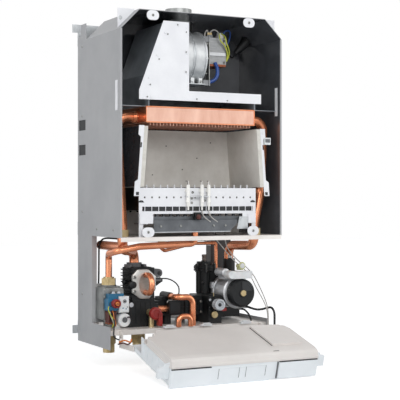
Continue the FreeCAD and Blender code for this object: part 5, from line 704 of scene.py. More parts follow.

# %% Bright sheet along the foot of the chamber's back, pale as painted reflection, and dark plates behind the side windows as painted shade
ledge = Piece("lower_back_sheet")
# The sheet's pale zinc is painted reflection.
ledge.block((-197.6, 197.6), (-58.8, -57.5), (247.5, 298), bright_zinc)
ledge.strip([(-57.5, 296), (-61.6, 298.4), (-61.6, 302.4), (-57.5, 303.4)], (-197.6, 197.6), bright_zinc)
for index in range(17):
    ledge.block((-147.8 + 17.6 * index, -143.6 + 17.6 * index), (-63, -61.4), (298.6, 302), black_nylon)
ledge.done(edge=0.3)
seals = Piece("window_painted_shade")
# Painted shade: dark plates where the side windows look into the shadowed chamber.
for side in (-1, 1):
    for low in (428, 485):
        seals.block(sorted((side * 198.6, side * 197.6)), (-54, -6), (low, low + 29), dark_recess)
seals.done(edge=0.2)

# %% Dark skin of the upright behind the pump: a dark coat, with its brown a painted reflection of the copper nearby
upright_skin = Piece("upright_skin")
# Its brown tint is a painted reflection of the nearby copper.
upright_skin.blocks(dark_bronze_coat, (135.2, 190.8, -28.5, -28.05, 55, 245),
    (135.1, 135.45, -28.4, -4, 55, 215), (190.55, 190.9, -28.4, -4, 55, 245))
upright_skin.done(edge=0)

# %% [markdown]
# The cover's lugs are stamped from white coated steel: a rounded plate with a dimple round the screw.
# They replace the plain plates of the frame.

# %% Lugs, corner brackets and clips
def oval(x, rise, width, height, corner=8, steps=5):
    """The outline of a rounded plate round a middle."""
    spots = []
    for turn, (sx, sz) in enumerate(((1, 1), (-1, 1), (-1, -1), (1, -1))):
        for k in range(steps + 1):
            angle = math.pi / 2 * (turn + k / steps)
            spots.append((x + sx * (width / 2 - corner) + corner * math.cos(angle),
                          rise + sz * (height / 2 - corner) + corner * math.sin(angle)))
    return spots


LUGS = [(-124, 726.3), (114, 726.3), (-135, 257.7), (125, 257.7)]
lugs = Piece("cover_lugs_rounded")
for lug_x, lug_rise in LUGS:
    lugs.slab(oval(lug_x, lug_rise, 29, 21, 10), (-255.6, -253.6), white_powder_coat)
    lugs.turned((lug_x, -255.4, lug_rise), FRONT, [(0, 7), (0.5, 6.4), (0.5, 4.4), (-0.4, 3.6)],
        white_powder_coat)
for side in (-1, 1):
    bracket = [(195.8, 698.2), (156, 738), (156, 741), (195.8, 741)]
    lugs.slab([(side * x, rise) for x, rise in bracket][::side], (-230, -228.5), white_powder_coat)
    lugs.turned((side * 189.8, -230, 720), FRONT, [(0, 4.6), (0.6, 4.2), (0.7, 2.8)], galvanised)
    lugs.block((side * 201, side * 197.7)[::side], (-239, -228), (520, 585), white_powder_coat)
lugs.done(replaces=["cover_lugs"], edge=0.5)

# %% Screws of the sheet metal
hood_spots = [(-61.2, 710.8), (-85.2, 688.9), (-106.1, 633.3), (-127.3, 577.2), (-134.2, 550.6),
    (-40.2, 696.2), (-40.5, 652.3), (-41, 608.6), (-14.4, 550.2), (62.2, 549.4)]
screws("hood_screw_heads", [((x, -248.7, rise), FRONT) for x, rise in hood_spots], 1.8, 0.9)
screws("lug_screw_heads", [((x, -255.8, rise), FRONT) for x, rise in LUGS], 3.2, 1.2)
side_spots = [(-200.1, y, rise) for y, rise in ((-30, 110), (-30, 300), (-30, 520), (-30, 680), (-120, 262),
    (-215, 262))]
screws("left_side_screws", [(spot, LEFT) for spot in side_spots], 3.0, 0.9)
screws("right_side_screws", [((-x, y, rise), RIGHT) for x, y, rise in side_spots[1:]], 3.0, 0.9)

# %% [markdown]
# ## Fan
# The drum is cast aluminium with raised bands, bolted through lugs at its foot. Its motor is a stack of
# thin steel sheets with enamelled copper inside, hung on red rubber blocks so that it doesn't hum.

# %% Fan drum
FAN_Y, FAN_RISE = -165, 650
drum = Piece("fan_drum_bands")
for band_x, band_width, reach in ((-32.8, 4, 60.4), (-9, 3.2, 59.2), (20.5, 5.5, 60.6)):
    profile = [(0, 57.5), (0.6, reach), (band_width - 0.6, reach), (band_width, 57.5)]
    drum.turned((band_x, FAN_Y, FAN_RISE), RIGHT, profile, fan_aluminium, 64)
for lug_x in (-26, -8, 12):
    drum.block((lug_x, lug_x + 9), (-206, -196), (588, 602), fan_aluminium)
    drum.rod((lug_x + 4.5, -206, 594), (lug_x + 4.5, -208.5, 594), 3.2, zinc_screw, 6)
drum.block((-33, 26), (-212, -150), (586.5, 589), galvanised)
for y, rise in around(FAN_Y, FAN_RISE, 58.6, range(220, 79, -35)):
    drum.rod((24, y, rise), (30, y, rise), 2.4, zinc_screw, 8)
drum.done(edge=0.6)

# %% Fan motor
motor = Piece("fan_motor_set")
motor.block((41.3, 90.7), (-189.4, -140.6), (637, 697.4), lamination_core)
motor.block((43, 89), (-191.2, -139.4), (631.9, 637.2), varnished_copper)
motor.block((44, 88), (-192.4, -190), (656, 664), bright_aluminium)
motor.rod((90.7, FAN_Y, FAN_RISE), (95, FAN_Y, FAN_RISE), 12, bright_aluminium)
motor.block((39, 41), (-204, -189), (586, 698), galvanised)
for low in (586, 685):
    motor.block((25, 39), (-203, -190), (low, low + 13), red_rubber)
    motor.block((38.4, 41.8), (-204.6, -188.4), (low - 0.6, low + 14), white_nylon)
for rise in (645, 685):
    motor.rod((25, -147, rise), (41, -147, rise), 3.5, zinc_screw, 12)
for left in (43, 71):
    motor.blocks(white_nylon, (left, left + 14, -188, -176, 698, 704),
        (left + 1, left + 13, -186, -178, 704, 710))
    for pin in (left + 3.5, left + 8.5):
        motor.block((pin, pin + 2), (-189.6, -186), (699.5, 702), turned_brass)
motor.tube([(45, -187, 709), (40, -192, 713), (33, -196, 706), (31, -198, 698)], 1.5, white_lead)
motor.tube([(50, -186, 709), (57, -190, 715), (65, -190, 714), (73, -187, 709)], 1.3, white_lead)
motor.tube([(74, -187, 708), (70, -195, 702), (73, -197, 690), (84, -196, 680), (92, -193, 664),
    (92, -189, 645)], 1.5, yellow_green)
motor.tube([(80, -186, 709), (86, -194, 700), (88, -197, 686), (97, -193, 668), (96, -188, 652),
    (91, -184, 644)], 1.5, yellow_green)
motor.tube([(83, -184, 706), (94, -184, 716), (108, -176, 716), (112, -168, 704), (108, -166, 690),
    (94, -168, 682)], 1.7, blue_lead)
motor.tube([(90, -178, 676), (100, -178, 668), (103, -176, 656), (95, -176, 646)], 1.6, black_rubber)
motor.tube([(61, -191, 640), (63.5, -197, 628), (62, -201, 613), (55, -202, 601), (43, -198, 594)], 4.2,
    blue_lead, 16)
motor.done(replaces=["fan_motor"], edge=0.5)
row("fan_motor_sheets", 24, (43.6, -165, 667), (2, 0, 0), (1.1, 50, 61.4), brushed_steel)
screws("fan_motor_screws", [((x, -190.2, rise), FRONT) for x in (46, 86) for rise in (642, 692)], 3.2, 1.6)

# %% Rubber boot on the roof's slope
OUTSIDE, INSIDE = (184.8, -118, 705.8), (150, -118, 671)
boot = Piece("cable_boot")
boot.turned(OUTSIDE, at(*INSIDE) - at(*OUTSIDE), [(0, 15), (3, 15), (4, 12.5), (26, 9), (40, 5.5),
    (44, 4.5)], black_rubber)
boot.tube([(155.5, -118.6, 676.5), (140, -128, 663), (120, -150, 668), (104, -170, 676), (92, -178, 680)],
    1.8, black_rubber)
boot.done(edge=0.5)

# %% [markdown]
# ## Exchanger and burner
# The exchanger's copper sheet is folded round the fins, with a hem above and below.
# The burner's blades show as a row of dark slots behind white steel.

# %% Exchanger hems and end seams
hems = Piece("exchanger_hems")
for low, high in ((495.4, 498.2), (528.8, 531.6)):
    hems.block((-134.2, 136.2), (-242.4, -240.6), (low, high), drawn_copper)
for seam_x in (-134.4, 134.6):
    hems.block((seam_x, seam_x + 1.8), (-242.2, -79), (496, 531), drawn_copper)
for port_x, port_y, out in ((-136, -190, -1), (138, -205, 1)):
    hems.turned((port_x, port_y, 510), (out, 0, 0), [(0, 14.5), (1.5, 14.5), (2.5, 12.6), (9, 12),
        (9.5, 11.1)], drawn_copper)
hems.done(edge=0.4)

# %% Combustion chamber
# Its sides lean out towards the burner. Outside they are painted dark, as painted shade, and white brackets
# stand on their front edges.
FIRE_X = 4


def across(side, *spots):
    """An outline at the left of the fire, or its mirror image at the right."""
    return [(FIRE_X + side * (x - FIRE_X), rise) for x, rise in spots][::side]


fire = Piece("combustion_shell")
for side in (1, -1):
    fire.slab(across(side, (-152.5, 356), (-151.3, 356), (-141.3, 489), (-142.5, 489)), (-245, -90),
        black_stove_enamel)
    fire.slab(across(side, (-151.6, 336), (-140.1, 489), (-152.5, 489), (-154, 469), (-148.4, 464),
        (-155.3, 372), (-162.7, 367), (-165, 336)), (-246.5, -245), white_powder_coat)
    fire.slab(across(side, (-150.2, 441), (-146.8, 441), (-145.9, 452), (-149.3, 452)), (-246.9, -246.4),
        dark_recess)
    fire.turned((FIRE_X - side * 151.3, -246.4, 479), FRONT, [(0, 3.6), (0.5, 3.2), (0.6, 1.8), (-0.2, 1.6)],
        white_powder_coat, 24)
    fire.slab(across(side, (-160.5, 338), (-153.5, 338), (-153.0, 345), (-160.0, 345)), (-246.9, -246.4),
        dark_recess)
fire.block((159, 175), (-248, -240), (453, 469), white_nylon)
fire.block((161, 173), (-248.6, -247.8), (458, 466), mid_grey_steel)
# The back plate is painted dark as well: painted shade.
fire.slab([(-151.3, 356), (159.3, 356), (149.3, 489), (-141.3, 489)], (-91.2, -90), black_stove_enamel)
fire.done(replaces=["combustion_chamber"], edge=0.4)

# %% Fibre board fixings and its worn front edges
fibre = Piece("fibre_edges")
for side in (1, -1):
    fibre.slab(across(side, (-150.6, 357), (-140.6, 357), (-130.9, 487), (-140.9, 487)), (-246, -244.6),
        pale_fibre)
for pin_x, pin_rise in ((-90, 430), (-20, 452), (60, 425), (-55, 385), (22, 398), (96, 462)):
    fibre.rod((pin_x, -101, pin_rise), (pin_x, -102.6, pin_rise), 1.6, dark_burner_steel, 8)
fibre.done(edge=0.5)

# %% Burner front
burner = Piece("burner_front_details")
for end_x in (-145, 132):
    burner.slab([(end_x - 7, 322), (end_x + 6, 322), (end_x + 3, 326), (end_x - 2, 327), (end_x - 7, 325)],
        (-243, -242.2), dark_recess)
for x in (-150.5, 118.5):
    burner.block((x, x + 19), (-245.2, -242.6), (275, 297), white_powder_coat)
burner.block((-41, 20), (-252.6, -250.4), (333, 336), bright_aluminium)
burner.slab([(-117, 257), (72, 257), (90, 274), (90, 283), (-117, 283)], (-243.8, -242.6), mid_grey_steel)
burner.slab([(90, 262), (118, 262), (118, 290), (96, 290)], (-243.4, -242.6), galvanised)
burner.block((-117, 72), (-246.4, -242.8), (256, 258), galvanised)
burner.block((-20, -4), (-251, -243.6), (283, 300), black_nylon)
burner.turned((-12, -250.6, 290), FRONT, [(0, 5.6), (1.4, 6.2), (3, 6.2), (3.4, 3.4), (5, 3.2)],
    red_brown_coil, 6)
for x in (-100, -52, 30, 60):
    burner.rod((x, -243.6, 270), (x, -245.6, 270), 2.4, zinc_screw, 12)
for x, rise in ((-22, 344), (-24, 331), (-24, 321), (8, 326)):
    burner.turned((x, -242.3, rise), FRONT, [(0, 3), (1.6, 2.7), (1.8, 1.2)], zinc_screw, 12)
burner.done(edge=0.4)
row("burner_slot_bars", 17, (-138, -243, 308), (16.6, 0, 0), (1.3, 1.4, 11), white_powder_coat)
row("burner_dark_slots", 1, (-6.5, -242.6, 308), (1, 0, 0), (262, 0.5, 9.6), dark_recess)
row("burner_top_notches", 16, (-132.5, -240.5, 357.5), (16.6, 0, 0), (1.4, 4, 6.5), white_powder_coat)

# %% Electrodes
SPARK_Y = -249
spark = Piece("electrode_set")
for x in (-37, -1.5, 15.5):
    profile = [(0, 2.2), (2, 3.0), (8, 3.2), (9, 4.6), (12, 4.6), (13, 3.9), (36, 3.7), (38, 4.4), (40, 3.6),
        (46, 3.2), (47, 2.2)]
    spark.turned((x, SPARK_Y, 313), UP, profile, white_ceramic, 24)
    spark.rod((x, SPARK_Y, 359), (x, SPARK_Y, 367), 1, dark_burner_steel, 8)
    spark.rod((x, SPARK_Y, 305), (x, SPARK_Y, 314), 1.1, dark_burner_steel, 8)
    spark.tube([(x, SPARK_Y, 366), (x - 1, SPARK_Y, 368.4), (x - 5, -248, 369)], 0.9, dark_burner_steel, 8,
        4)
spark.block((-41.5, 20), (-247.8, -242.6), (334, 337), bright_aluminium)
spark.done(edge=0.3)

# %% [markdown]
# ## Gas valve
# A die cast block carries a blue regulator, a red ring round its brass adjuster, the plug for its wires and
# two coils.

# %% Casting details
casting = Piece("gas_valve_casting_details")
casting.slab(oval(-168, 119, 50, 24, 5), (-139.4, -135.1), cast_aluminium)
casting.slab(oval(-168, 127.5, 44, 13, 6), (-131, -94), cast_aluminium)
casting.turned((-168, -112, 134), UP, [(-0.5, 16.5), (0.8, 17), (2.1, 17), (2.4, 14)], cast_aluminium)
for screw_x, screw_rise in ((-188.5, 127), (-148, 127), (-188.5, 111), (-147.5, 111)):
    casting.rod((screw_x, -139.2, screw_rise), (screw_x, -141.2, screw_rise), 2.6, zinc_screw, 16)
casting.rod((-146, -120, 118), (-140, -120, 118), 5, cast_aluminium, 20)
casting.rod((-140.2, -120, 118), (-138.6, -120, 118), 3.4, zinc_screw, 6)
for web_rise in (66, 72, 78):
    casting.block((-191.4, -189.4), (-134, -96), (web_rise, web_rise + 2), cast_aluminium)
casting.block((-190, -146), (-136.2, -134.8), (62, 84), cast_aluminium)
casting.done(edge=0.7)

# %% Regulator, plug and coils
fittings = Piece("gas_valve_fittings")
fittings.blocks(blue_plastic, (-188, -164, -158, -135, 82, 108), (-186, -150, -156, -135, 106.5, 119),
    (-187.4, -165, -160, -157, 84, 104))
fittings.turned((-181, -159.8, 97), FRONT, [(-1, 5.6), (0.9, 5.6), (1.2, 4.6), (0.1, 4.2)], dark_recess)
for cap_x in (-172, -159):
    fittings.turned((cap_x, -149, 118.5), UP, [(0, 4.8), (1.4, 4.8), (1.8, 3.8), (4.4, 3.6), (5, 2.8)],
        clear_nylon)
fittings.turned((-172, -160, 98), FRONT, [(0, 10), (7, 10.2), (11, 9.6), (12, 8.2), (12, 6.1), (9, 5.9)],
    red_plastic)
fittings.turned((-172, -166, 98), FRONT, [(0, 5.6), (5, 5.6), (7, 5.0), (9, 4.4)], brass_orange, 24)
fittings.block((-176, -168), (-175.6, -174.6), (97.2, 98.8), dark_recess)
fittings.blocks(white_nylon, (-163, -139, -160, -135, 77, 113), (-161.6, -140.4, -161.4, -159.6, 79, 111))
fittings.turned((-150, -161.2, 102), FRONT, [(-0.5, 4.4), (0.8, 4.4), (1, 3.5), (0.2, 3.3)], grey_nylon, 24)
fittings.rod((-150, -161, 102), (-150, -162, 102), 2.4, dark_recess, 6)
for mark_x, mark_rise, width in ((-156, 86, 4), (-148, 84, 3), (-144.5, 88, 2.4)):
    fittings.block((mark_x, mark_x + width), (-162, -161), (mark_rise, mark_rise + 2), dark_recess)
fittings.block((-186, -168), (-156, -135), (54, 80), red_brown_coil)
fittings.block((-183, -171), (-157.4, -155), (58, 77), black_nylon)
fittings.block((-187, -167), (-155, -136), (51.5, 55), varnished_copper)
profile = [(0, 14.2), (1.5, 15.3), (22, 15.3), (24.2, 14.2), (24.8, 9), (24.2, 8.4)]
fittings.turned((-149, -135.2, 59.6), FRONT, profile, white_nylon, 48)
fittings.turned((-149, -159, 60.5), FRONT, [(0, 6.2), (1.6, 6.2), (1.8, 4.4), (0.8, 4.2), (0.8, 3),
    (3, 2.6)], grey_nylon, 24)
fittings.tube([(-144, -161.5, 66), (-138, -164, 66), (-134.5, -162, 58), (-137, -158, 47),
    (-141, -152, 44.5)], 1.6, black_rubber)
fittings.tube([(-187.5, -160, 92), (-190, -163.5, 86), (-186, -165, 74), (-179, -163, 64), (-177, -160, 52),
    (-177.5, -156, 45)], 1.2, yellow_green)
fittings.tube([(-178, -158, 82), (-177.5, -163, 76), (-177, -164, 66), (-172, -162, 56), (-170, -157, 47)],
    1.2, orange_lead)
fittings.tube([(-184, -158, 80), (-184, -162, 72), (-180, -163.5, 61), (-174, -160, 50)], 1.1, white_lead)
fittings.rod((-177, -153.6, 64), (-177, -158.4, 63.6), 3.2, black_nylon, 16)
fittings.done(replaces=["gas_valve_coils"], edge=0.7)

# %% [markdown]
# ## Diverter
# The block is moulded in glass filled nylon with thin cooling ribs. Its bright cover is pressed steel with
# a dished opening, where the copper return bend shows.

# %% Block details
details = Piece("diverter_block_details")
for rise in (104, 118, 132, 146, 160):
    details.block((-133.5, -124), (-140, -97), (rise, rise + 1.8), black_nylon)
for rise in (98, 112, 168):
    details.block((-124.5, -71), (-146.2, -144.8), (rise, rise + 2.2), black_nylon)
details.rod((-124, -124, 142), (-136, -124, 142), 4.4, black_nylon)
details.turned((-134, -124, 142), LEFT, [(0, 5), (1, 6.8), (3.6, 6.8), (4.6, 5.4)], black_nylon, 28)
details.turned((-125, -145, 136.6), FRONT, [(0, 9.6), (5, 9.6), (7, 8.6), (8.4, 5.4)], black_nylon, 32)
details.turned((-127, -144.8, 91.5), FRONT, [(0, 5.6), (1.2, 5.6), (1.9, 4.6)], clear_nylon, 24)
details.turned((-107, -115, 172), UP, [(0, 19), (3, 19), (3.4, 16.4), (10, 16.4), (10.4, 17.6), (13, 17.6),
    (13.4, 13)], grey_nylon, 36)
for lug_x in (-126, -90):
    details.block((lug_x, lug_x + 7), (-131, -101), (174, 181), grey_nylon)
details.block((-121, -76), (-142, -92), (172.5, 175.5), black_nylon)
for fin_x in (-116, -104, -92, -80):
    details.block((fin_x, fin_x + 2), (-146, -120), (50, 97), black_nylon)
details.slab([(-64, 66), (-56, 66), (-70, 104), (-78, 104)], (-143, -100), black_nylon)
details.done(edge=0.5)

# %% Pressed cover with its opening
def loop(points, count):
    """The same outline with count evenly spaced spots, so that two outlines can be joined."""
    runs = list(zip(points, points[1:] + points[:1]))
    lengths = [math.dist(a, b) for a, b in runs]
    total, spots = sum(lengths), []
    for k in range(count):
        left = total * k / count
        for (a, b), length in zip(runs, lengths):
            if left <= length:
                break
            left -= length
        share = left / length
        spots.append((a[0] + (b[0] - a[0]) * share, a[1] + (b[1] - a[1]) * share))
    return spots


def drawn_in(outline, middle, width, height):
    """An outline brought nearer to a middle, by one factor for its width and one for its height."""
    middle_x, middle_rise = middle
    return [(middle_x + (x - middle_x) * width, middle_rise + (rise - middle_rise) * height)
            for x, rise in outline]


RIM = [(-126.6, 119), (-107, 105.2), (-85, 105.2), (-69.3, 125), (-69.3, 154.5), (-88, 170.8), (-114, 170.8),
    (-126.6, 157.6)]
OPENING = (-93, 137.5)
RIM_SPOTS = 72
outer = loop(RIM, RIM_SPOTS)
crest = loop(drawn_in(RIM, (-97, 138), 0.96, 0.96), RIM_SPOTS)
inner = loop([(OPENING[0] + 18 * x, OPENING[1] + 26 * z) for x, z in around(0, 0, 1, range(208, 568, 10))],
    RIM_SPOTS)
throat = drawn_in(inner, OPENING, 0.86, 0.9)
layers = [(outer, -148), (outer, -151.4), (crest, -152.2), (inner, -152.2), (throat, -146.5),
    (throat, -145.2), (outer, -145.2)]
cover = Piece("diverter_cover_pressed")
cover.skin([[at(x, y, rise) for x, rise in outline] for outline, y in layers], pressed_steel, caps=False)
cover.slab(drawn_in(inner, OPENING, 0.9, 0.93), (-146.4, -145.1), dished_steel)
cover.done(replaces=["diverter_cover"], edge=0)
screws("cover_screw_heads", [((-121.6, -151.9, 153.4), FRONT), ((-121.4, -151.9, 121.4), FRONT)], 4.4, 1.6)

# %% Diverter motor
actuator = Piece("diverter_motor")
for front, rear in ((-131, -122.4), (-113.6, -107)):
    actuator.slab(oval(-57, 160, 28, 19, 9), (front, rear), grey_nylon)
actuator.slab([(-57.5, 150.6), (-50, 150.6), (-43.4, 156), (-43.4, 164), (-50, 169.3), (-57.5, 169.3)],
    (-122.6, -113.4), grey_nylon)
actuator.block((-67, -57.5), (-122.6, -113.4), (154.6, 167), grey_nylon)
actuator.turned((-51.5, -130.5, 160), FRONT, [(0, 4.4), (1.6, 4.2), (1.8, 2.6)], dark_recess, 24)
for front, rear in ((-134, -122.4), (-113.6, -108)):
    actuator.block((-70, -44), (front, rear), (140, 148.5), black_nylon)
actuator.blocks(black_nylon, (-70, -44, -122.6, -113.4, 140, 145.4), (-57, -44, -122.6, -113.4, 145, 148.5))
actuator.slab([(-69.5, 140.4), (-69.5, 131.4), (-58, 131.4), (-50, 137), (-44.5, 140.4)], (-133, -109),
    black_nylon)
actuator.block((-66, -47), (-135.2, -133.4), (141.5, 147), grey_nylon)
actuator.turned((-46, -118, 146), (4.8, 0, 0.2), [(0, 3.4), (3, 3.2), (4.4, 2.4)], black_rubber, 20)
actuator.done(replaces=["diverter_actuator"], edge=0.6)

# %% Ribs, clip and flange of the crossover
passage = Piece("crossover_details")
for rib_x in (2, 13, 24, 35, 46):
    passage.slab([(rib_x, 64), (rib_x + 2, 64), (rib_x + 2, 92), (rib_x, 95)], (-134.6, -131.6), black_nylon)
passage.slab([(2, 78), (58, 78), (58, 80.4), (2, 80.4)], (-133.8, -131.6), black_nylon)
passage.block((50, 56), (-136.4, -131.6), (63, 95), black_nylon)
for rise in (67, 91):
    passage.turned((53, -136, rise), FRONT, [(0, 3), (1.6, 3), (2.4, 2)], zinc_screw, 16)
passage.slab([(-40, 95), (-36, 99.4), (-12, 99.4), (-8, 95), (-8, 92), (-14, 97.6), (-34, 97.6), (-40, 92)],
    (-150, -147), pressed_steel)
passage.blocks(black_nylon, (-36, -12, -158.8, -157.6, 71, 95), (-40, 56, -126, -96, 103.6, 104.6))
passage.turned((7, -112, 104), UP, [(0, 5), (3, 4.8), (4.6, 3.4)], black_rubber, 24)
passage.done(edge=0.4)

# %% [markdown]
# ## Pump and return group
# The separator is a black moulded pot with ribs, and the pump a wet rotor type: a bright can, a clamp ring
# and a black cap.

# %% Separator ribs and small fittings
POT_X, POT_Y = 90, -81
pot = Piece("separator_details")
for angle in range(0, 360, 30):
    dx, dy = math.cos(math.radians(angle)), math.sin(math.radians(angle))
    corners = ((17.5, -0.9), (19.6, -0.9), (19.6, 0.9), (17.5, 0.9))
    spots = [(POT_X + dx * r - dy * w, POT_Y + dy * r + dx * w) for r, w in corners]
    pot.prism([[(x, y, rise) for x, y in spots] for rise in (160, 106)], black_nylon)
pot.turned((POT_X, POT_Y, 158), UP, [(0, 22), (1, 25.2), (4, 25.2), (4.6, 24.4), (6.4, 24.4), (7, 25.2),
    (11, 25.2), (12, 23)], black_nylon, 48)
for x, y in around(POT_X, POT_Y, 26, (200, 250, 310, 20)):
    pot.rod((x, y, 156), (x, y, 175), 3.6, black_nylon, 16)
    pot.rod((x, y, 174.5), (x, y, 176.4), 2.6, zinc_screw, 12)
pot.turned((POT_X, POT_Y, 179.5), UP, [(0, 7.4), (3, 7.4), (3.4, 5.2), (12, 5.2), (13, 5.9), (17, 5.9),
    (17.6, 4.4)], smoked_cap, 28)
pot.turned((78, -98, 131), FRONT, [(0, 4), (3, 4), (3.6, 3)], black_nylon, 16)
pot.block((62, 96), (-160.8, -158), (98, 104.5), black_nylon)
pot.turned((64.6, -159, 95.8), FRONT, [(0, 3.2), (2.4, 3.2), (3.6, 2.2)], clear_nylon, 16)
pot.turned((66.5, -159, 80.2), FRONT, [(0, 3), (2, 3), (2.8, 2)], clear_nylon, 16)
pot.rod((72, -158, 104), (72, -158, 112), 4, black_nylon, 16)
pot.turned((74.5, -164.6, 62), FRONT, [(0, 7.4), (1, 8.2), (1.6, 7.4)], turned_brass, 32)
pot.done(edge=0.4)

# %% Pump can, clamp ring and cap
PUMP_X, PUMP_RISE = 136, 111
can = Piece("pump_can_details")
can.turned((PUMP_X, -113, PUMP_RISE), BACK, [(0, 36.3), (0.6, 38.2), (1.2, 39), (10.4, 39), (11, 38.2),
    (11.4, 36.3)], bright_aluminium, 72)
can.turned((PUMP_X, -163.4, PUMP_RISE), BACK, [(0, 33.8), (0.5, 35.6), (1.6, 37.6), (2.6, 38), (4, 38),
    (4.8, 36.4)], bright_aluminium, 72)
can.block((93, 100), (-114, -104), (118, 133), bright_aluminium)
can.rod((96.4, -115.5, 126), (96.4, -103, 126), 2.6, zinc_screw, 12)
can.turned((103, -163.8, 158), FRONT, [(0, 10), (2.2, 9.6), (3.2, 7.4)], bright_aluminium, 36)
for x, rise in around(103, 158, 8, (35, 100, 165)):
    can.rod((x, -163.6, rise), (x, -166, rise), 1.5, zinc_screw, 8)
can.done(edge=0.4)

cap = Piece("pump_cap_details")
arc = around(PUMP_X, PUMP_RISE, 27, range(8, 99, 10))
cap.slab([(133, 116), (162.6, 116)] + arc + [(133, 137.6)], (-190.2, -188.9), cap_gloss)
cap.turned((PUMP_X, -188.8, PUMP_RISE), FRONT, [(0, 10.6), (1.2, 10.2), (1.6, 8.2), (0.9, 7.4)], black_nylon,
    40)
for x, rise in around(PUMP_X, PUMP_RISE, 32, range(0, 360, 15)):
    cap.rod((x, -184, rise), (x, -169, rise), 0.9, black_nylon, 6)
cap.done(edge=0.3)

# %% Terminal box and vent knob
terminal = Piece("pump_terminal_details")
terminal.turned((106.5, -189.8, 154), FRONT, [(0, 9.4), (1.4, 9.2), (2, 7.8), (1.6, 6.6)], white_nylon, 40)
terminal.slab([(118, 161.3), (160, 161.3), (160, 152.5), (157, 152.5), (157, 158.5), (120, 158.5)],
    (-190.9, -189.8), white_nylon)
terminal.turned((146, -156, 163), UP, [(0, 8), (6, 8), (7, 9.6), (11, 9.6), (13, 8.4), (14, 5)], vent_knob,
    32)
terminal.turned((146, -165.2, 173), FRONT, [(0, 9), (1.6, 9), (2.2, 7.2)], vent_knob, 32)
terminal.turned((146, -167.2, 173), FRONT, [(0, 6.2), (1.6, 6), (2.1, 4)], white_nylon, 28)
terminal.block((149, 156), (-96, -90), (180, 196), black_nylon)
terminal.block((147.6, 157.4), (-98, -89), (188, 193), white_nylon)
terminal.done(edge=0.5)

# %% Safety valve's knob
knob = Piece("safety_knob_details")
profile = [(0, 12.4), (1, 13), (3, 13), (5, 12.2), (14, 12.2), (16, 13), (17.6, 13), (18, 11.8), (18, 8.8),
    (15, 8)]
knob.turned((78, -168.4, 86), FRONT, profile, clear_nylon, 48)
for x, rise in around(78, 86, 12.4, range(0, 360, 20)):
    knob.rod((x, -184, rise), (x, -170, rise), 1.1, clear_nylon, 8)
knob.turned((78, -181, 86), FRONT, [(0, 7.8), (1.5, 7.4), (1.8, 4.4), (3.4, 4), (4, 3)], dark_recess, 28)
knob.block((83, 94), (-186, -172.4), (71.5, 79), red_plastic)
knob.rod((78, -169, 86), (78, -156, 86), 4, white_nylon, 16)
knob.done(body="safety_valve_knob", replaces=["safety_valve_knob"], edge=0.4)

# %% Filling tap's red knob
tap = Piece("filling_tap_details")
tap.turned((-82, -171.8, 73), FRONT, [(0, 12.6), (1, 14), (9, 14), (11.4, 12.8), (12.2, 9), (11.2, 8)],
    red_plastic, 48)
for x, rise in around(-82, 73, 13.6, range(0, 360, 24)):
    tap.rod((x, -182, rise), (x, -173.5, rise), 1.0, red_plastic, 8)
tap.slab([(-77.6, 74), (-68.6, 74), (-68.4, 47), (-70, 45.2), (-76, 45.2), (-77.6, 47)], (-186, -174),
    red_plastic)
tap.rod((-82, -173, 73), (-82, -149.6, 73), 5.8, turned_brass, 24)
tap.done(body="filling_tap_knob", replaces=["filling_tap_knob"], edge=0.6)

# %% Small things on the tray and under the chamber
caps = Piece("tray_tab_caps")
for tab_x in (-54, 38, 141):
    caps.blocks(white_nylon, (tab_x - 13.6, tab_x + 13.6, -196, -185.6, 40.6, 45.4),
        (tab_x - 9, tab_x + 9, -196.6, -190, 45, 48))
caps.done(edge=0.8)
under = Piece("fittings_under_the_floor")
under.turned((-38, -115, 228), UP, [(0, 6), (1, 9.4), (9, 9.4), (10, 7), (17, 7)], turned_brass, 6)
under.turned((-129, -190, 236), UP, [(0, 10), (2, 12.4), (9.6, 12.4)], red_rubber, 36)
under.tube([(-196, -236, 22), (-184, -240, 26), (-172, -243, 22), (-168, -240, 28)], 1.8, orange_lead)
under.tube([(-196, -230, 17), (-186, -236, 20), (-176, -240, 17), (-166, -236, 22)], 1.6, red_brown_coil)
under.done(edge=0.3)

# %% [markdown]
# ## Electronics box
# The box is moulded ABS: a warm grey lid on a cool white tub. Both are about 2.5 mm thick, with ribs and
# clips moulded in. Its details are drawn level, from the hinge line, and turned down with the box.

# %% Tub's front, latches and operating panel
BOX_X = 4
tub = Piece("control_box_front")
for left, right, foot in ((-171, -79, -7), (80, 176, -5)):
    tub.blocks(front_plastic, (left, right, -190.2, -186.4, foot, 32.4),
        (left + 2, right - 2, -190.6, -190, foot + 2, 30.6))
    tub.block((left + 1, right - 1), (-190.4, -186.4), (32.4, 33.6), dark_recess)
tub.block((76.8, 79), (-188.6, -186.4), (-4, 33), grey_nylon)
for mark in (-61, -13, 3, 50):
    tub.block((mark, mark + 1), (-187, -186.4), (4, 27), grey_nylon)
tub.block((-66, 50), (-187.6, -186.4), (27.4, 28.8), front_plastic)
tub.slab([(-86, -6), (-82, -12.6), (56, -12.6), (62, -6)], (-188.4, -184.6), front_plastic)
for side in (-1, 1):
    x = BOX_X + side * 173
    tub.slab([(x, 44), (x + side * 10, 42), (x + side * 13, 36), (x + side * 23, 33), (x + side * 23, 26),
        (x + side * 13, 21), (x + side * 10, 10), (x, 8)][::-side], (-177, -174), front_plastic)
    tub.strip([(-34, 41), (-46, 41), (-53, 3), (-45, 3)], sorted((x + side * 1.6, x - side)), front_plastic)
    for rib in (70, 96, 122, 148):
        tub.block(sorted((x, x + side * 0.9)), (-rib - 2, -rib), (-5, 31), front_plastic)
tub.lower()
tub.done(body="control_box", edge=0.5)

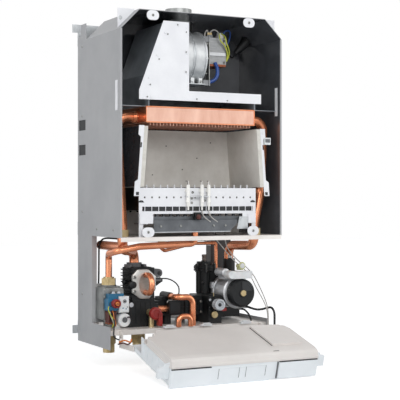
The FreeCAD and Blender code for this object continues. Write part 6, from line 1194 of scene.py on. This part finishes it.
KNOB_Y = -96
face = Piece("operating_panel_face")
face.turned((-130.4, KNOB_Y, -9), DOWN, [(0, 19.4), (2, 19.4), (3.2, 18), (3.4, 16.4), (1.6, 15.6)],
    black_nylon, 56)
face.turned((-130.4, KNOB_Y, -9), DOWN, [(0, 15.4), (2.1, 15.4)], white_ceramic, 48)
face.block((-131, -129.8), (-107, -94), (-11.9, -11), red_plastic)
face.rod((-130.4, KNOB_Y, -11), (-130.4, KNOB_Y, -12.2), 2.2, black_nylon, 20)
for knob_x in (-80, 4):
    face.turned((knob_x, KNOB_Y, -6.1), DOWN, [(0, 24), (0.6, 24), (0.9, 23)], grey_nylon, 56)
face.turned((88, KNOB_Y, -6.1), DOWN, [(0, 11.4), (1.4, 11.2), (1.8, 9.8), (1.2, 8.8)], grey_nylon, 40)
face.blocks(grey_nylon, (-160, 168, -150, -148.6, -6.9, -6.1), (-160, 168, -46, -44.6, -6.9, -6.1))
face.lower()
face.done(body="control_box", edge=0.3)

# %% Lid's rim and seams
lid = Piece("control_box_lid_details")
lid.strip([(-186.4, 33.9), (-187.8, 33.9), (-188.2, 37), (-187.4, 40), (-186.2, 41)], (-169.4, 177.4),
    lid_plastic)
lid.block((80.4, 82), (-150.4, -50), (52.8, 53.8), dark_recess)
lid.slab([(82, 53), (155, 53), (152, 58.6), (84, 58.6)], (-151.6, -149.4), lid_plastic)
lid.block((70, 84), (-176, -175.2), (52.4, 53.4), dark_recess)
for side in (-1, 1):
    x = BOX_X + side * 172.6
    lid.strip([(-170, 52.6), (-64, 52.6), (-64, 50.2), (-170, 50.2)], sorted((x, x + side)), lid_plastic)
    lid.strip([(-180, 36.4), (-44, 36.4), (-44, 33.6), (-180, 33.6)], sorted((x, x + side * 1.4)),
        lid_plastic)
for clip_x in (-120, -20, 128):
    lid.block((clip_x, clip_x + 16), (-40, -35.2), (36, 50), lid_plastic)
lid.lower()
lid.done(body="control_box", edge=0.5)

# %% Knobs on the operating panel
for knob_name, knob_x in (("heating_knob", -80), ("hot_water_knob", 4)):
    grip = Piece(knob_name + "_grip")
    grip.turned((knob_x, KNOB_Y, -7.2), DOWN, [(0, 17.2), (1, 18.4), (3, 18.4), (4.4, 17.2), (13, 16.6),
        (14.6, 14)], grey_nylon, 56)
    for x, y in around(knob_x, KNOB_Y, 17.2, range(0, 360, 15)):
        grip.rod((x, y, -12), (x, y, -20), 0.8, grey_nylon, 8)
    grip.block((knob_x - 1, knob_x + 1), (-111, -98), (-22.4, -21.6), white_nylon)
    grip.rod((knob_x, KNOB_Y, -7.4), (knob_x, KNOB_Y, 4), 4, white_nylon, 20)
    grip.lower()
    grip.done(body=knob_name, replaces=[knob_name], edge=0.4)
